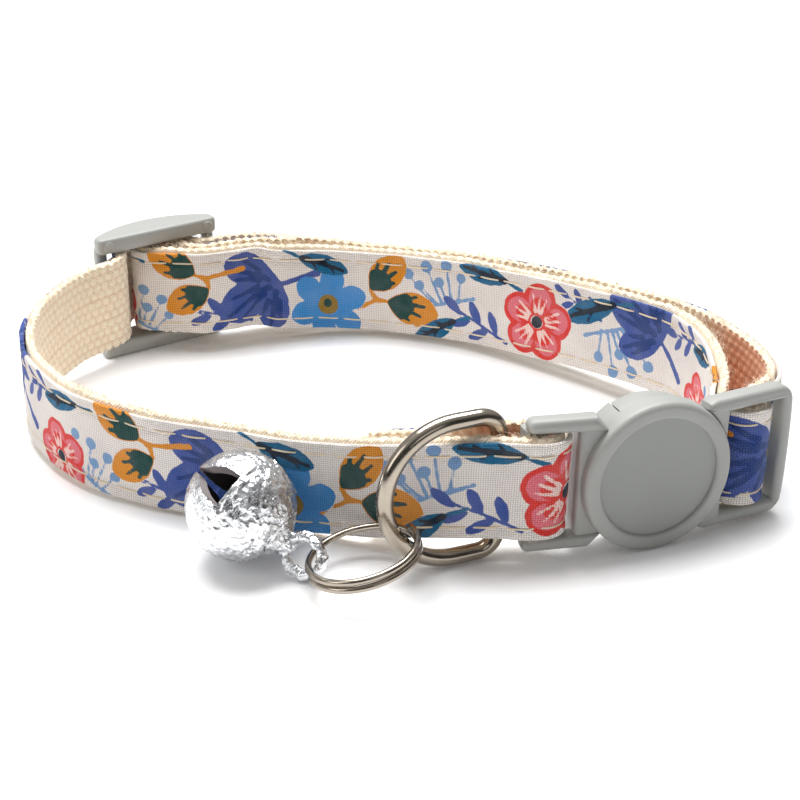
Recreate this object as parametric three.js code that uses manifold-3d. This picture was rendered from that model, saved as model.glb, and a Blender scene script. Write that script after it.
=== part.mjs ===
// Cat collar: one strap in a closed loop, made of cream webbing with a printed cotton strip sewn on its
// outer face, a snap buckle with a round badge disc, a slide adjuster, a D-ring, a split ring and a bell.
// Millimetres, +Z up. The collar stands on edge on a floor at z = 0, buckle towards -Y.
import * as THREE from "three";
import { mergeVertices } from "three/addons/utils/BufferGeometryUtils.js";
import Module from "manifold-3d";

const wasm = await Module();
wasm.setup();

// Driving dimensions
const CENTRE_X = 0.48; // plan shift that brings the middle of the whole collar to the origin
const CENTRE_Y = 2.79;
const STRAP_WIDTH = 10;
const COVER_WIDTH = 9.6;
const WEBBING_THICK = 0.95;
const COVER_THICK = 0.5;
const SEAM_GAP = 0.15; // between the webbing and the cotton strip
const TO_WEBBING_FACE = SEAM_GAP / 2 + WEBBING_THICK; // from the strap's spine
const TO_PRINT_FACE = SEAM_GAP / 2 + COVER_THICK;

const BUCKLE_X = 24.3; // the middle of the badge disc's front face
const BUCKLE_Y = -23.6;
const BUCKLE_TURN = THREE.MathUtils.degToRad(21.35); // the right end lies further back
const BUCKLE_TILT = THREE.MathUtils.degToRad(-2); // the right end lies lower
const DISC_RADIUS = 7.5;
const DISC_THICK = 2.2;
const RECESS_RADIUS = 5.95;
const RECESS_DEPTH = 0.4;
const CORE_RADIUS = 5.6;
const CORE_BACK = -5.2;
const ARM_INNER = 5.9;
const ARM_OUTER = 6.75;
const ARM_ANGLE = THREE.MathUtils.degToRad(118);
const PARTING = THREE.MathUtils.degToRad(3); // gap between an arm's tip and the socket's shoulder
const FRAME_HALF = 6.65; // half height of both buckle frames
const FRAME_DEPTH = 2.0;
const FRAME_LEAN = THREE.MathUtils.degToRad(8); // each frame leans back from the disc, towards the neck
const FRAME_CORNER = 1.6;
const SLOT_HALF = 5.3; // half height of every strap slot in the buckle
const EDGE = 0.45; // bevel along the edges of the plastic frames
const SOCKET = { end: -12.8, slotEnd: -7.65, shoulder: -6.3, leanFrom: -5.5, back: -5.2, front: -0.7 };
const PLUG = { start: 3, webEnd: 7.2, slotEnd: 13.45, end: 14.8, leanFrom: 4.5, front: -0.45 };
const PLUG_ROOT = { half: 4.3, back: -5.0, front: -1.6 }; // behind the plug's frame, between its arms
const ARM_FRONT = -2.5;
const CHEEK = { to: -5, half: 4.9, front: -1.5 }; // the socket's wall between its slot and its core
const SOCKET_BAR = { from: -12.1, to: -10.1, inner: -4.35, outer: -2.45, corner: 0.6 };
const PLUG_BAR = { from: 9.5, to: 10.9, inner: -4.05, outer: -2.65, corner: 0.5 };

const SLIDER_X = -26.46; // the middle of the slider's inner face
const SLIDER_Y = 22.73;
const SLIDER_TURN = THREE.MathUtils.degToRad(33);
const SLIDER = { half: 7.3, height: 14.3, slotHalf: 5.35, arch: 4.0, endThick: 1.6 };
const SLIDER_BAR = { from: -0.7, to: 0.7, inner: 0.9, outer: 2.3, corner: 0.45 };
const SLIDER_END_BAR = { from: 6.1, to: 7.3, inner: 0.9, outer: 2.1, corner: 0.4 };

const D_BAR_X = 9.4;
const D_BAR_Y = -24.52;
const D_TURN = THREE.MathUtils.degToRad(23); // how far the ring leans out in front of the strap
const D_WIRE = 1.6;
const D_HEIGHT = 15.3;
const D_DEPTH = 12.75; // from the back of the bar to the front of the bow
const D_CORNER = 2.0;
const D_SIDES = 10;

const RING = { x: -2.75, y: -29.77, z: 3.1, outer: 10.75, wire: 0.64, pitch: 0.76, turns: 1.54 };
const RING_ROLL = THREE.MathUtils.degToRad(12.5); // the right side lies higher
const RING_START = THREE.MathUtils.degToRad(195);
const RING_SIDES = 8;

const BELL = { x: -14.0, y: -25.2, z: 5.6, radius: 5.1, wall: 0.55 };
const BELL_AXIS = new THREE.Vector3(0.773, -0.475, -0.42).normalize(); // from the bell to its loop
const SLIT_SIDE = new THREE.Vector3(-0.21, -0.656, 0.724).normalize(); // the opening seen from the front
const LOOP_FACING = new THREE.Vector3(0.417, 0.88, -0.227); // across the plane of the loop
const LOOP = { reach: 7.55, radius: 1.85, wire: 1.0 };
const NECK = { from: 4.75, to: 5.95, wide: 1.5, narrow: 0.85 };
const SLIT = { width: 0.55, fanStart: 3.0, fanWidth: 3.2, length: 5.6, floor: 0.3 };
const PEA_RADIUS = 1.2;
const PEA_GAP = 0.25;

// The strap's spine in plan, in the order of its length. It runs between the webbing and the cotton strip,
// with the cotton on its left. lift is the height of the strap's lower edge. Buckle rows give u along the
// buckle and n out of its face, slider rows give t along the slider and h out of its face.
const SOCKET_BACK_LAYER = [
  { x: -2.1, y: -20.75, lift: 1.1 },
  { x: 2.4, y: -22.55, lift: 1.9 },
  { x: 5.8, y: -22.85, lift: 2.35 },
  { x: 9.4, y: -22.32, lift: 2.5 },
];
const SOCKET_FOLD = { u: -10.8, n: -3.4, radius: 2.3, from: -90, to: 90, lift: 2.5 };
const FRONT_LAYER = [
  { x: 11.9, y: -26.85, lift: 2.5 },
  { x: 9.2, y: -26.68, lift: 2.5 },
  { x: 5.5, y: -26.3, lift: 2.35 },
  { x: 2, y: -25.0, lift: 1.8 },
  { x: -2, y: -23.3, lift: 1.1 },
  { x: -6, y: -21.8, lift: 0.6 },
  { x: -10, y: -20.35, lift: 0.25 },
  { x: -14, y: -18.75, lift: 0.15 },
  { x: -18.4, y: -17.4, lift: 0.2 },
  { x: -23, y: -15.85, lift: 0.25 },
  { x: -26.5, y: -14.1, lift: 0.35 },
  { x: -29.3, y: -12.4, lift: 0.45 },
  { x: -32.3, y: -9.7, lift: 0.6 },
  { x: -35, y: -6.1, lift: 0.75 },
  { x: -36.9, y: -2.6, lift: 0.9 },
  { x: -37.9, y: 1, lift: 1.05 },
  { x: -38.2, y: 4.6, lift: 1.25 },
  { x: -37.7, y: 8.6, lift: 1.5 },
  { x: -36.4, y: 12.2, lift: 1.8 },
  { x: -34.9, y: 15, lift: 2.0 },
];
const SLIDER_PASS = [
  { t: -8.6, h: -1.15, lift: 2.15 },
  { t: -6.7, h: -0.65, lift: 2.15 },
  { t: -5.0, h: 0.6, lift: 2.15 },
  { t: -4.25, h: 2.4, lift: 2.15 },
  { t: -3.35, h: 4.15, lift: 2.15 },
  { t: -1.9, h: 5.25, lift: 2.15 },
  { t: 0, h: 5.65, lift: 2.15 },
  { t: 1.9, h: 5.25, lift: 2.15 },
  { t: 3.35, h: 4.15, lift: 2.15 },
  { t: 4.1, h: 2.7, lift: 2.15 },
  { t: 4.7, h: 1.2, lift: 2.15 },
  { t: 5.6, h: 0.05, lift: 2.15 },
  { t: 6.9, h: -0.15, lift: 2.15 },
];
const OUTER_LAYER = [
  { x: -18, y: 27.55, lift: 2.1 },
  { x: -14.5, y: 28.7, lift: 1.7 },
  { x: -10.5, y: 29.0, lift: 1.2 },
  { x: -7.5, y: 28.85, lift: 0.95 },
  { x: -4, y: 28.4, lift: 0.7 },
  { x: 0.5, y: 27.5, lift: 0.6 },
  { x: 5, y: 26.1, lift: 0.65 },
  { x: 9.2, y: 24.3, lift: 0.8 },
  { x: 14.7, y: 20.7, lift: 1.2 },
  { x: 18.5, y: 17.7, lift: 1.5 },
  { x: 22, y: 14.6, lift: 1.8 },
  { x: 27, y: 9.9, lift: 2.2 },
  { x: 30, y: 6.9, lift: 2.4 },
  { x: 32.5, y: 3.5, lift: 2.5 },
  { x: 34.6, y: -0.2, lift: 2.5 },
  { x: 36.2, y: -3.8, lift: 2.5 },
  { x: 37.0, y: -7.0, lift: 2.5 },
  { x: 37.0, y: -9.3, lift: 2.5 },
  { x: 36.3, y: -11.3, lift: 2.5 },
  { x: 35.2, y: -12.8, lift: 2.5 },
];
const PLUG_ENTRY = [
  { u: 12.75, n: -5.35, lift: 2.5 },
  { u: 12.25, n: -4.3, lift: 2.5 },
];
const PLUG_FOLD = { u: 10.2, n: -3.35, radius: 2.1, from: 0, to: 180, lift: 2.5 };
const PLUG_EXIT = [{ u: 8.2, n: -4.9, lift: 2.5 }];
const INNER_LAYER = [
  { x: 30.35, y: -14.1, lift: 2.5 },
  { x: 31, y: -11.6, lift: 2.5 },
  { x: 31.35, y: -8.3, lift: 2.5 },
  { x: 31.35, y: -4.7, lift: 2.5 },
  { x: 30.9, y: -1.5, lift: 2.5 },
  { x: 30.1, y: 1.2, lift: 2.5 },
  { x: 28.9, y: 3.8, lift: 2.45 },
  { x: 26.5, y: 6.5, lift: 2.35 },
  { x: 21.4, y: 11.6, lift: 1.9 },
  { x: 18.2, y: 14.4, lift: 1.6 },
  { x: 13.4, y: 18.3, lift: 1.1 },
  { x: 8, y: 22.1, lift: 0.75 },
  { x: 4.2, y: 23.9, lift: 0.65 },
  { x: 0, y: 25.15, lift: 0.6 },
  { x: -4.2, y: 25.9, lift: 0.7 },
  { x: -8, y: 25.9, lift: 0.95 },
  { x: -10.7, y: 25.1, lift: 1.25 },
  { x: -13.4, y: 24.1, lift: 1.6 },
];
const SLIDER_INNER = [
  { t: 9.6, h: -4.85, lift: 2.0 },
  { t: 6.7, h: -4.5, lift: 2.15 },
  { t: 3.3, h: -3.55, lift: 2.15 },
  { t: 1.5, h: -2.2, lift: 2.15 },
  { t: -0.2, h: -0.95, lift: 2.15 },
];
const SLIDER_FOLD = { t: 0, h: 1.6, radius: 2.1, from: -130, to: -270, lift: 2.15 };
const END_LAYER = [
  { t: 1.6, h: 3.15, lift: 2.15 },
  { t: 2.45, h: 1.95, lift: 2.15 },
  { t: 3.15, h: 0.35, lift: 2.15 },
  { t: 4.5, h: -1.45, lift: 2.15 },
  { t: 6.8, h: -2.0, lift: 2.15 },
  { t: 9.5, h: -2.35, lift: 2.1 },
  { t: 12.8, h: -3.3, lift: 1.9 },
  { t: 14.9, h: -4.3, lift: 1.6 },
];
const STEP_TURN = THREE.MathUtils.degToRad(13);
const STEP_LENGTH = 4.5;

// Plan positions
const buckleX = new THREE.Vector2(Math.cos(BUCKLE_TURN), Math.sin(BUCKLE_TURN));
const buckleN = new THREE.Vector2(Math.sin(BUCKLE_TURN), -Math.cos(BUCKLE_TURN));
const sliderX = new THREE.Vector2(Math.cos(SLIDER_TURN), Math.sin(SLIDER_TURN));
const sliderN = new THREE.Vector2(-Math.sin(SLIDER_TURN), Math.cos(SLIDER_TURN));

function onBuckle({ u, n, lift }) {
  const x = BUCKLE_X + u * buckleX.x + n * buckleN.x;
  const y = BUCKLE_Y + u * buckleX.y + n * buckleN.y;
  return { x, y, lift };
}

function onSlider({ t, h, lift }) {
  const x = SLIDER_X + t * sliderX.x + h * sliderN.x;
  const y = SLIDER_Y + t * sliderX.y + h * sliderN.y;
  return { x, y, lift };
}

// Stations on a fold round a bar. Angles are in degrees in the bar's own frame.
function foldStations(across, out, radius, from, to, count) {
  const stations = [];
  for (let i = 0; i <= count; i++) {
    const angle = THREE.MathUtils.degToRad(from + ((to - from) * i) / count);
    stations.push({ across: across + radius * Math.cos(angle), out: out + radius * Math.sin(angle) });
  }
  return stations;
}

function buckleFold(fold) {
  const stations = foldStations(fold.u, fold.n, fold.radius, fold.from, fold.to, 6);
  return stations.map((s) => onBuckle({ u: s.across, n: s.out, lift: fold.lift }));
}

function sliderFold(fold) {
  const stations = foldStations(fold.t, fold.h, fold.radius, fold.from, fold.to, 6);
  return stations.map((s) => onSlider({ t: s.across, h: s.out, lift: fold.lift }));
}

function strapSpine() {
  const rows = [
    ...SOCKET_BACK_LAYER,
    ...buckleFold(SOCKET_FOLD),
    ...FRONT_LAYER,
    ...SLIDER_PASS.map(onSlider),
    ...OUTER_LAYER,
    ...PLUG_ENTRY.map(onBuckle),
    ...buckleFold(PLUG_FOLD),
    ...PLUG_EXIT.map(onBuckle),
    ...INNER_LAYER,
    ...SLIDER_INNER.map(onSlider),
    ...sliderFold(SLIDER_FOLD),
    ...END_LAYER.map(onSlider),
  ];
  const points = rows.map((row) => new THREE.Vector3(row.x, row.y, row.lift));
  return new THREE.CatmullRomCurve3(points, false, "centripetal");
}

// Stations along the spine, closer together where it bends: a point, and the direction to its left.
function strapStations(spine) {
  const count = 2000;
  spine.arcLengthDivisions = count * 2;
  const fine = spine.getSpacedPoints(count);
  const heading = (i) => {
    const a = fine[Math.max(i - 1, 0)];
    const b = fine[Math.min(i + 1, count)];
    return Math.atan2(b.y - a.y, b.x - a.x);
  };
  const stations = [];
  let turned = Infinity;
  let run = 0;
  for (let i = 0; i <= count; i++) {
    if (i > 0) {
      const step = heading(i) - heading(i - 1);
      turned += Math.abs(Math.atan2(Math.sin(step), Math.cos(step)));
      run += fine[i].distanceTo(fine[i - 1]);
    }
    if (turned < STEP_TURN && run < STEP_LENGTH && i < count) continue;
    const angle = heading(i) + Math.PI / 2;
    stations.push({ point: fine[i], left: new THREE.Vector3(Math.cos(angle), Math.sin(angle), 0) });
    turned = 0;
    run = 0;
  }
  return stations;
}

// A closed surface through rings of points that all have the same number of points.
function skin(rings, closed) {
  const size = rings[0].length;
  const positions = rings.flat().flatMap((p) => [p.x, p.y, p.z]);
  const index = [];
  const spans = closed ? rings.length : rings.length - 1;
  for (let r = 0; r < spans; r++) {
    const next = (r + 1) % rings.length;
    for (let k = 0; k < size; k++) {
      const l = (k + 1) % size;
      const [a, b, c, d] = [r * size + k, r * size + l, next * size + l, next * size + k];
      index.push(a, b, c, a, c, d);
    }
  }
  for (let k = 1; !closed && k < size - 1; k++) {
    const last = (rings.length - 1) * size;
    index.push(0, k + 1, k, last, last + k, last + k + 1);
  }
  const geometry = new THREE.BufferGeometry();
  geometry.setAttribute("position", new THREE.Float32BufferAttribute(positions, 3));
  geometry.setIndex(index);
  return geometry;
}

// Near the buckle the strap leans with it.
function leanWithBuckle(point) {
  const dx = point.x - BUCKLE_X;
  const dy = point.y - BUCKLE_Y;
  const u = dx * buckleX.x + dy * buckleX.y;
  const n = dx * buckleN.x + dy * buckleN.y;
  const beside = Math.max(SOCKET.end - u, u - PLUG.end, 0);
  const behind = Math.max(CORE_BACK - 1 - n, 0);
  const share = 1 - THREE.MathUtils.smoothstep(Math.hypot(beside, behind), 1, 14);
  const angle = BUCKLE_TILT * share;
  const up = point.z - DISC_RADIUS;
  const slide = u * Math.cos(angle) - up * Math.sin(angle) - u;
  point.x += slide * buckleX.x;
  point.y += slide * buckleX.y;
  point.z = DISC_RADIUS + u * Math.sin(angle) + up * Math.cos(angle);
  return point;
}

// A layer of the strap between two distances to the left of the spine.
function strapLayer(stations, nearSide, farSide, width) {
  const inset = (STRAP_WIDTH - width) / 2;
  const rings = stations.map(({ point, left }) => {
    const low = point.z + inset;
    const corner = (side, height) =>
      leanWithBuckle(new THREE.Vector3(point.x + left.x * side, point.y + left.y * side, height));
    return [
      corner(nearSide, low),
      corner(farSide, low),
      corner(farSide, low + width),
      corner(nearSide, low + width),
    ];
  });
  return skin(rings, false);
}

// Solids, joined and cut
function solid(geometry) {
  const bare = geometry.clone();
  bare.deleteAttribute("normal");
  bare.deleteAttribute("uv");
  const merged = mergeVertices(bare, 1e-4);
  const faces = [];
  const ids = merged.index.array;
  for (let i = 0; i < ids.length; i += 3) {
    const [a, b, c] = [ids[i], ids[i + 1], ids[i + 2]];
    if (a !== b && b !== c && c !== a) faces.push(a, b, c);
  }
  const made = new wasm.Manifold(
    new wasm.Mesh({
      numProp: 3,
      vertProperties: new Float32Array(merged.attributes.position.array),
      triVerts: new Uint32Array(faces),
    }),
  );
  return made;
}

function surface(manifold) {
  const mesh = manifold.getMesh();
  const geometry = new THREE.BufferGeometry();
  geometry.setAttribute("position", new THREE.BufferAttribute(mesh.vertProperties, 3));
  geometry.setIndex(new THREE.BufferAttribute(mesh.triVerts, 1));
  return geometry;
}

// A flat outline made solid between two heights.
function plateGeometry(shape, from, to, bevel) {
  const geometry = new THREE.ExtrudeGeometry(shape, {
    depth: to - from - 2 * bevel,
    curveSegments: 14,
    bevelEnabled: bevel > 0,
    bevelThickness: bevel,
    bevelSize: bevel,
    bevelOffset: -bevel,
    bevelSegments: 1,
  });
  geometry.translate(0, 0, from + bevel);
  return geometry;
}

function plate(shape, from, to, bevel = 0) {
  return solid(plateGeometry(shape, from, to, bevel));
}

// A buckle frame's plate, turned about the strap's width where it leaves the disc.
function leaningFrame(shape, { leanFrom, front }) {
  const geometry = plateGeometry(shape, -FRAME_DEPTH, 0, EDGE);
  geometry.translate(-leanFrom, 0, 0);
  geometry.rotateY(Math.sign(leanFrom) * FRAME_LEAN);
  geometry.translate(leanFrom, 0, front);
  return solid(geometry);
}

function block(x0, x1, y0, y1, z0, z1) {
  const geometry = new THREE.BoxGeometry(x1 - x0, y1 - y0, z1 - z0);
  geometry.translate((x0 + x1) / 2, (y0 + y1) / 2, (z0 + z1) / 2);
  return solid(geometry);
}

function roundBar(radius, from, to, sides) {
  const geometry = new THREE.CylinderGeometry(radius, radius, to - from, sides);
  geometry.rotateX(Math.PI / 2);
  geometry.translate(0, 0, (from + to) / 2);
  return solid(geometry);
}

function roundedRectangle(x0, x1, half, corner) {
  const shape = new THREE.Shape();
  shape.moveTo(x0 + corner, -half);
  shape.lineTo(x1 - corner, -half);
  shape.absarc(x1 - corner, -half + corner, corner, -Math.PI / 2, 0);
  shape.lineTo(x1, half - corner);
  shape.absarc(x1 - corner, half - corner, corner, 0, Math.PI / 2);
  shape.lineTo(x0 + corner, half);
  shape.absarc(x0 + corner, half - corner, corner, Math.PI / 2, Math.PI);
  shape.lineTo(x0, -half + corner);
  shape.absarc(x0 + corner, -half + corner, corner, Math.PI, Math.PI * 1.5);
  return shape;
}

function ringSector(inner, outer, from, to) {
  const shape = new THREE.Shape();
  shape.absarc(0, 0, outer, from, to, false);
  shape.absarc(0, 0, inner, to, from, true);
  return shape;
}

// A rounded bar that a strap bends round, from its named sizes across and out of the face.
function gripBar({ from, to, inner, outer, corner }, low, high) {
  const shape = roundedRectangle(inner, outer, (to - from) / 2, corner);
  const geometry = new THREE.ExtrudeGeometry(shape, { depth: high - low, curveSegments: 3, bevelEnabled: false });
  geometry.rotateZ(Math.PI / 2);
  geometry.translate((from + to) / 2, 0, low);
  return geometry;
}

// The front plate of the socket: a round disc with a raised rim and a bare recess for a badge.
function badgeDisc() {
  const edge = 0.45;
  const profile = [
    [0, -RECESS_DEPTH],
    [RECESS_RADIUS, -RECESS_DEPTH],
    [RECESS_RADIUS, -0.15],
    [RECESS_RADIUS + 0.15, 0],
    [DISC_RADIUS - edge, 0],
    [DISC_RADIUS - edge / 3, -edge / 3],
    [DISC_RADIUS, -edge],
    [DISC_RADIUS, -DISC_THICK],
    [0, -DISC_THICK],
  ];
  const points = profile.map(([r, z]) => new THREE.Vector2(r, z));
  const geometry = new THREE.LatheGeometry(points.reverse(), 48);
  geometry.rotateX(Math.PI / 2);
  return solid(geometry);
}

// A grip bar of the buckle, lying along the strap's width.
function buckleBar(sizes) {
  const reach = SLOT_HALF + 0.4;
  const geometry = gripBar(sizes, -reach, reach);
  geometry.rotateX(Math.PI / 2);
  return solid(geometry);
}

// The socket: badge disc, round core, shoulder and a frame whose end bar holds the sewn fold.
function buckleSocket() {
  const { end, slotEnd, shoulder, back } = SOCKET;
  const frameShape = new THREE.Shape();
  frameShape.moveTo(end + FRAME_CORNER, -FRAME_HALF);
  frameShape.lineTo(shoulder, -FRAME_HALF);
  frameShape.lineTo(shoulder + 1.4, -FRAME_HALF + 1.6);
  frameShape.lineTo(shoulder + 1.4, FRAME_HALF - 1.6);
  frameShape.lineTo(shoulder, FRAME_HALF);
  frameShape.lineTo(end + FRAME_CORNER, FRAME_HALF);
  frameShape.absarc(end + FRAME_CORNER, FRAME_HALF - FRAME_CORNER, FRAME_CORNER, Math.PI / 2, Math.PI);
  frameShape.lineTo(end, -FRAME_HALF + FRAME_CORNER);
  frameShape.absarc(end + FRAME_CORNER, -FRAME_HALF + FRAME_CORNER, FRAME_CORNER, Math.PI, Math.PI * 1.5);
  const shoulderFrom = ARM_ANGLE + PARTING;
  const shoulderShape = ringSector(CORE_RADIUS - 1, ARM_OUTER, shoulderFrom, 2 * Math.PI - shoulderFrom);
  return badgeDisc()
    .add(roundBar(CORE_RADIUS, CORE_BACK, -DISC_THICK / 2, 40))
    .add(plate(shoulderShape, back, -DISC_THICK / 2))
    .add(leaningFrame(frameShape, SOCKET))
    .add(block(slotEnd, CHEEK.to, -CHEEK.half, CHEEK.half, back, CHEEK.front))
    .subtract(block(end - 1, slotEnd, -SLOT_HALF, SLOT_HALF, back - 1, 1))
    .add(buckleBar(SOCKET_BAR));
}

// The plug: two arms that hug the socket's core, and a frame with a centre bar for the strap.
function bucklePlug() {
  const { start, webEnd, slotEnd, end } = PLUG;
  const { half, back, front } = PLUG_ROOT;
  const through = [back - 1, 1];
  return leaningFrame(roundedRectangle(start, end, FRAME_HALF, FRAME_CORNER), PLUG)
    .add(block(start, webEnd, -half, half, back, front))
    .add(plate(ringSector(ARM_INNER, ARM_OUTER, -ARM_ANGLE, ARM_ANGLE), back, ARM_FRONT))
    .subtract(roundBar(DISC_RADIUS + 0.3, ARM_FRONT, 1, 48))
    .subtract(roundBar(ARM_INNER, ...through, 40))
    .subtract(block(webEnd, slotEnd, -SLOT_HALF, SLOT_HALF, ...through))
    .add(buckleBar(PLUG_BAR));
}

// The slide adjuster: a plate with a flat inner face and an arched outer face, two slots and three bars.
function slideAdjuster() {
  const { half, height, slotHalf, arch, endThick } = SLIDER;
  const rise = arch - endThick;
  const radius = (half * half + rise * rise) / (2 * rise);
  const spread = Math.asin(half / radius);
  const shape = new THREE.Shape();
  shape.moveTo(-half, 0);
  shape.lineTo(half, 0);
  shape.lineTo(half, endThick);
  shape.absarc(0, arch - radius, radius, Math.PI / 2 - spread, Math.PI / 2 + spread, false);
  const low = height / 2 - slotHalf;
  const high = height / 2 + slotHalf;
  const reach = [low - 0.4, high + 0.4];
  const otherEnd = { ...SLIDER_END_BAR, from: -SLIDER_END_BAR.to, to: -SLIDER_END_BAR.from };
  return plate(shape, 0, height, EDGE)
    .subtract(block(-half - 1, half + 1, -1, arch + 1, low, high))
    .add(solid(gripBar(SLIDER_BAR, ...reach)))
    .add(solid(gripBar(SLIDER_END_BAR, ...reach)))
    .add(solid(gripBar(otherEnd, ...reach)));
}

// The D-ring: a straight bar inside the strap, two rounded corners and a half round bow.
function dRing() {
  const reach = D_HEIGHT / 2 - D_WIRE / 2;
  const bowCentre = D_DEPTH - D_WIRE - reach;
  const path = new THREE.CurvePath();
  const at = (x, y) => new THREE.Vector2(x, y);
  const corner = D_CORNER;
  path.add(new THREE.LineCurve(at(0, -reach + corner), at(0, reach - corner)));
  path.add(new THREE.EllipseCurve(corner, reach - corner, corner, corner, Math.PI, Math.PI / 2, true));
  path.add(new THREE.LineCurve(at(corner, reach), at(bowCentre, reach)));
  path.add(new THREE.EllipseCurve(bowCentre, 0, reach, reach, Math.PI / 2, -Math.PI / 2, true));
  path.add(new THREE.LineCurve(at(bowCentre, -reach), at(corner, -reach)));
  path.add(new THREE.EllipseCurve(corner, -reach + corner, corner, corner, -Math.PI / 2, -Math.PI, true));
  const forward = new THREE.Vector3(-Math.cos(D_TURN), -Math.sin(D_TURN), 0);
  const up = new THREE.Vector3(0, 0, 1);
  const side = new THREE.Vector3().crossVectors(up, forward);
  const stepsPerPiece = [3, 5, 1, 20, 1, 5];
  const rings = [];
  path.curves.forEach((curve, piece) => {
    for (let i = 0; i < stepsPerPiece[piece]; i++) {
      const t = i / stepsPerPiece[piece];
      const p = curve.getPoint(t);
      const along = curve.getTangent(t);
      const out = forward.clone().multiplyScalar(along.y).addScaledVector(up, -along.x);
      const middle = forward.clone().multiplyScalar(p.x).addScaledVector(up, p.y);
      rings.push(circleOfPoints(middle, out, side, D_WIRE / 2, D_SIDES));
    }
  });
  return skin(rings, true);
}

function circleOfPoints(middle, first, second, radius, sides) {
  const points = [];
  for (let k = 0; k < sides; k++) {
    const angle = (2 * Math.PI * k) / sides;
    const point = middle.clone().addScaledVector(first, radius * Math.cos(angle));
    points.push(point.addScaledVector(second, radius * Math.sin(angle)));
  }
  return points;
}

// The split ring: one and a half turns of wire in a flat coil.
function splitRing() {
  const steps = 50;
  const middleRadius = RING.outer / 2 - RING.wire / 2;
  const rings = [];
  for (let i = 0; i <= steps; i++) {
    const share = i / steps;
    const angle = RING_START + share * RING.turns * 2 * Math.PI;
    const out = new THREE.Vector3(Math.cos(angle), Math.sin(angle), 0);
    const up = new THREE.Vector3(0, 0, 1);
    const height = (share - 0.5) * RING.turns * RING.pitch;
    const middle = out.clone().multiplyScalar(middleRadius).addScaledVector(up, height);
    rings.push(circleOfPoints(middle, up, out, RING.wire / 2, RING_SIDES));
  }
  return skin(rings, false);
}

// The bell: a hollow ball with one slit that opens into a fan at each end, a neck and a loop.
// In its own frame the slit crosses the top and runs along X.
function bellShell() {
  const { radius, wall } = BELL;
  const shape = new THREE.Shape();
  const half = SLIT.width / 2;
  const fan = SLIT.fanWidth / 2;
  shape.moveTo(-SLIT.length, -fan);
  shape.lineTo(-SLIT.fanStart, -half);
  shape.lineTo(SLIT.fanStart, -half);
  shape.lineTo(SLIT.length, -fan);
  shape.lineTo(SLIT.length, fan);
  shape.lineTo(SLIT.fanStart, half);
  shape.lineTo(-SLIT.fanStart, half);
  shape.lineTo(-SLIT.length, fan);
  const neck = new THREE.CylinderGeometry(NECK.wide, NECK.narrow, NECK.to - NECK.from, 12);
  neck.rotateX(Math.PI / 2);
  neck.translate(0, 0, -(NECK.from + NECK.to) / 2);
  const loop = new THREE.TorusGeometry(LOOP.radius, LOOP.wire / 2, 8, 24);
  const frame = bellFrame();
  const facing = LOOP_FACING.clone().applyMatrix4(frame.clone().transpose());
  loop.applyQuaternion(new THREE.Quaternion().setFromUnitVectors(new THREE.Vector3(0, 0, 1), facing.normalize()));
  loop.translate(0, 0, -LOOP.reach);
  return solid(new THREE.SphereGeometry(radius, 32, 20).rotateX(Math.PI / 2))
    .add(solid(neck))
    .subtract(solid(new THREE.SphereGeometry(radius - wall, 24, 14).rotateX(Math.PI / 2)))
    .subtract(plate(shape, SLIT.floor, radius + 1))
    .add(solid(loop));
}

function bellFrame() {
  const up = BELL_AXIS.clone().negate();
  const along = SLIT_SIDE.clone().addScaledVector(up, -SLIT_SIDE.dot(up)).normalize();
  const across = new THREE.Vector3().crossVectors(up, along);
  return new THREE.Matrix4().makeBasis(along, across, up);
}

// Materials
const finish = (color, roughness, metalness = 0) =>
  new THREE.MeshStandardMaterial({ color, roughness, metalness });
const WEBBING = finish(0xf6e6cc, 0.9);
const PRINTED_COTTON = finish(0xe9dfda, 0.85);
const GREY_PLASTIC = finish(0xa8aaa6, 0.5);
const NICKEL = finish(0xc9c3b6, 0.25, 1);
const BELL_METAL = finish(0xe6e8ea, 0.3, 1);

const collar = new THREE.Group();
collar.position.set(CENTRE_X, CENTRE_Y, 0);

function piece(name, geometry, material, parent = collar) {
  const mesh = new THREE.Mesh(geometry, material);
  mesh.name = name;
  parent.add(mesh);
  return mesh;
}

const stations = strapStations(strapSpine());
piece("strap_webbing", strapLayer(stations, -TO_WEBBING_FACE, -SEAM_GAP / 2, STRAP_WIDTH), WEBBING);
piece("strap_cover", strapLayer(stations, SEAM_GAP / 2, TO_PRINT_FACE, COVER_WIDTH), PRINTED_COTTON);

const buckle = new THREE.Group();
buckle.position.set(BUCKLE_X, BUCKLE_Y, DISC_RADIUS);
buckle.rotation.set(Math.PI / 2, BUCKLE_TURN, BUCKLE_TILT);
collar.add(buckle);
piece("buckle_socket", surface(buckleSocket()), GREY_PLASTIC, buckle);
piece("buckle_plug", surface(bucklePlug()), GREY_PLASTIC, buckle);

const slider = piece("slide_adjuster", surface(slideAdjuster()), GREY_PLASTIC);
slider.position.set(SLIDER_X, SLIDER_Y, 0);
slider.rotation.z = SLIDER_TURN;

const dee = piece("d_ring", dRing(), NICKEL);
dee.position.set(D_BAR_X, D_BAR_Y, D_HEIGHT / 2 + 0.1);

const ring = piece("split_ring", splitRing(), NICKEL);
ring.position.set(RING.x, RING.y, RING.z);
ring.rotation.y = -RING_ROLL;

const bell = piece("bell", surface(bellShell()), BELL_METAL);
bell.applyMatrix4(bellFrame());
bell.position.set(BELL.x, BELL.y, BELL.z);

const pea = piece("bell_pea", new THREE.SphereGeometry(PEA_RADIUS, 12, 8), NICKEL);
pea.position.set(BELL.x, BELL.y, BELL.z - (BELL.radius - BELL.wall - PEA_RADIUS - PEA_GAP));

export default collar;
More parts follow.
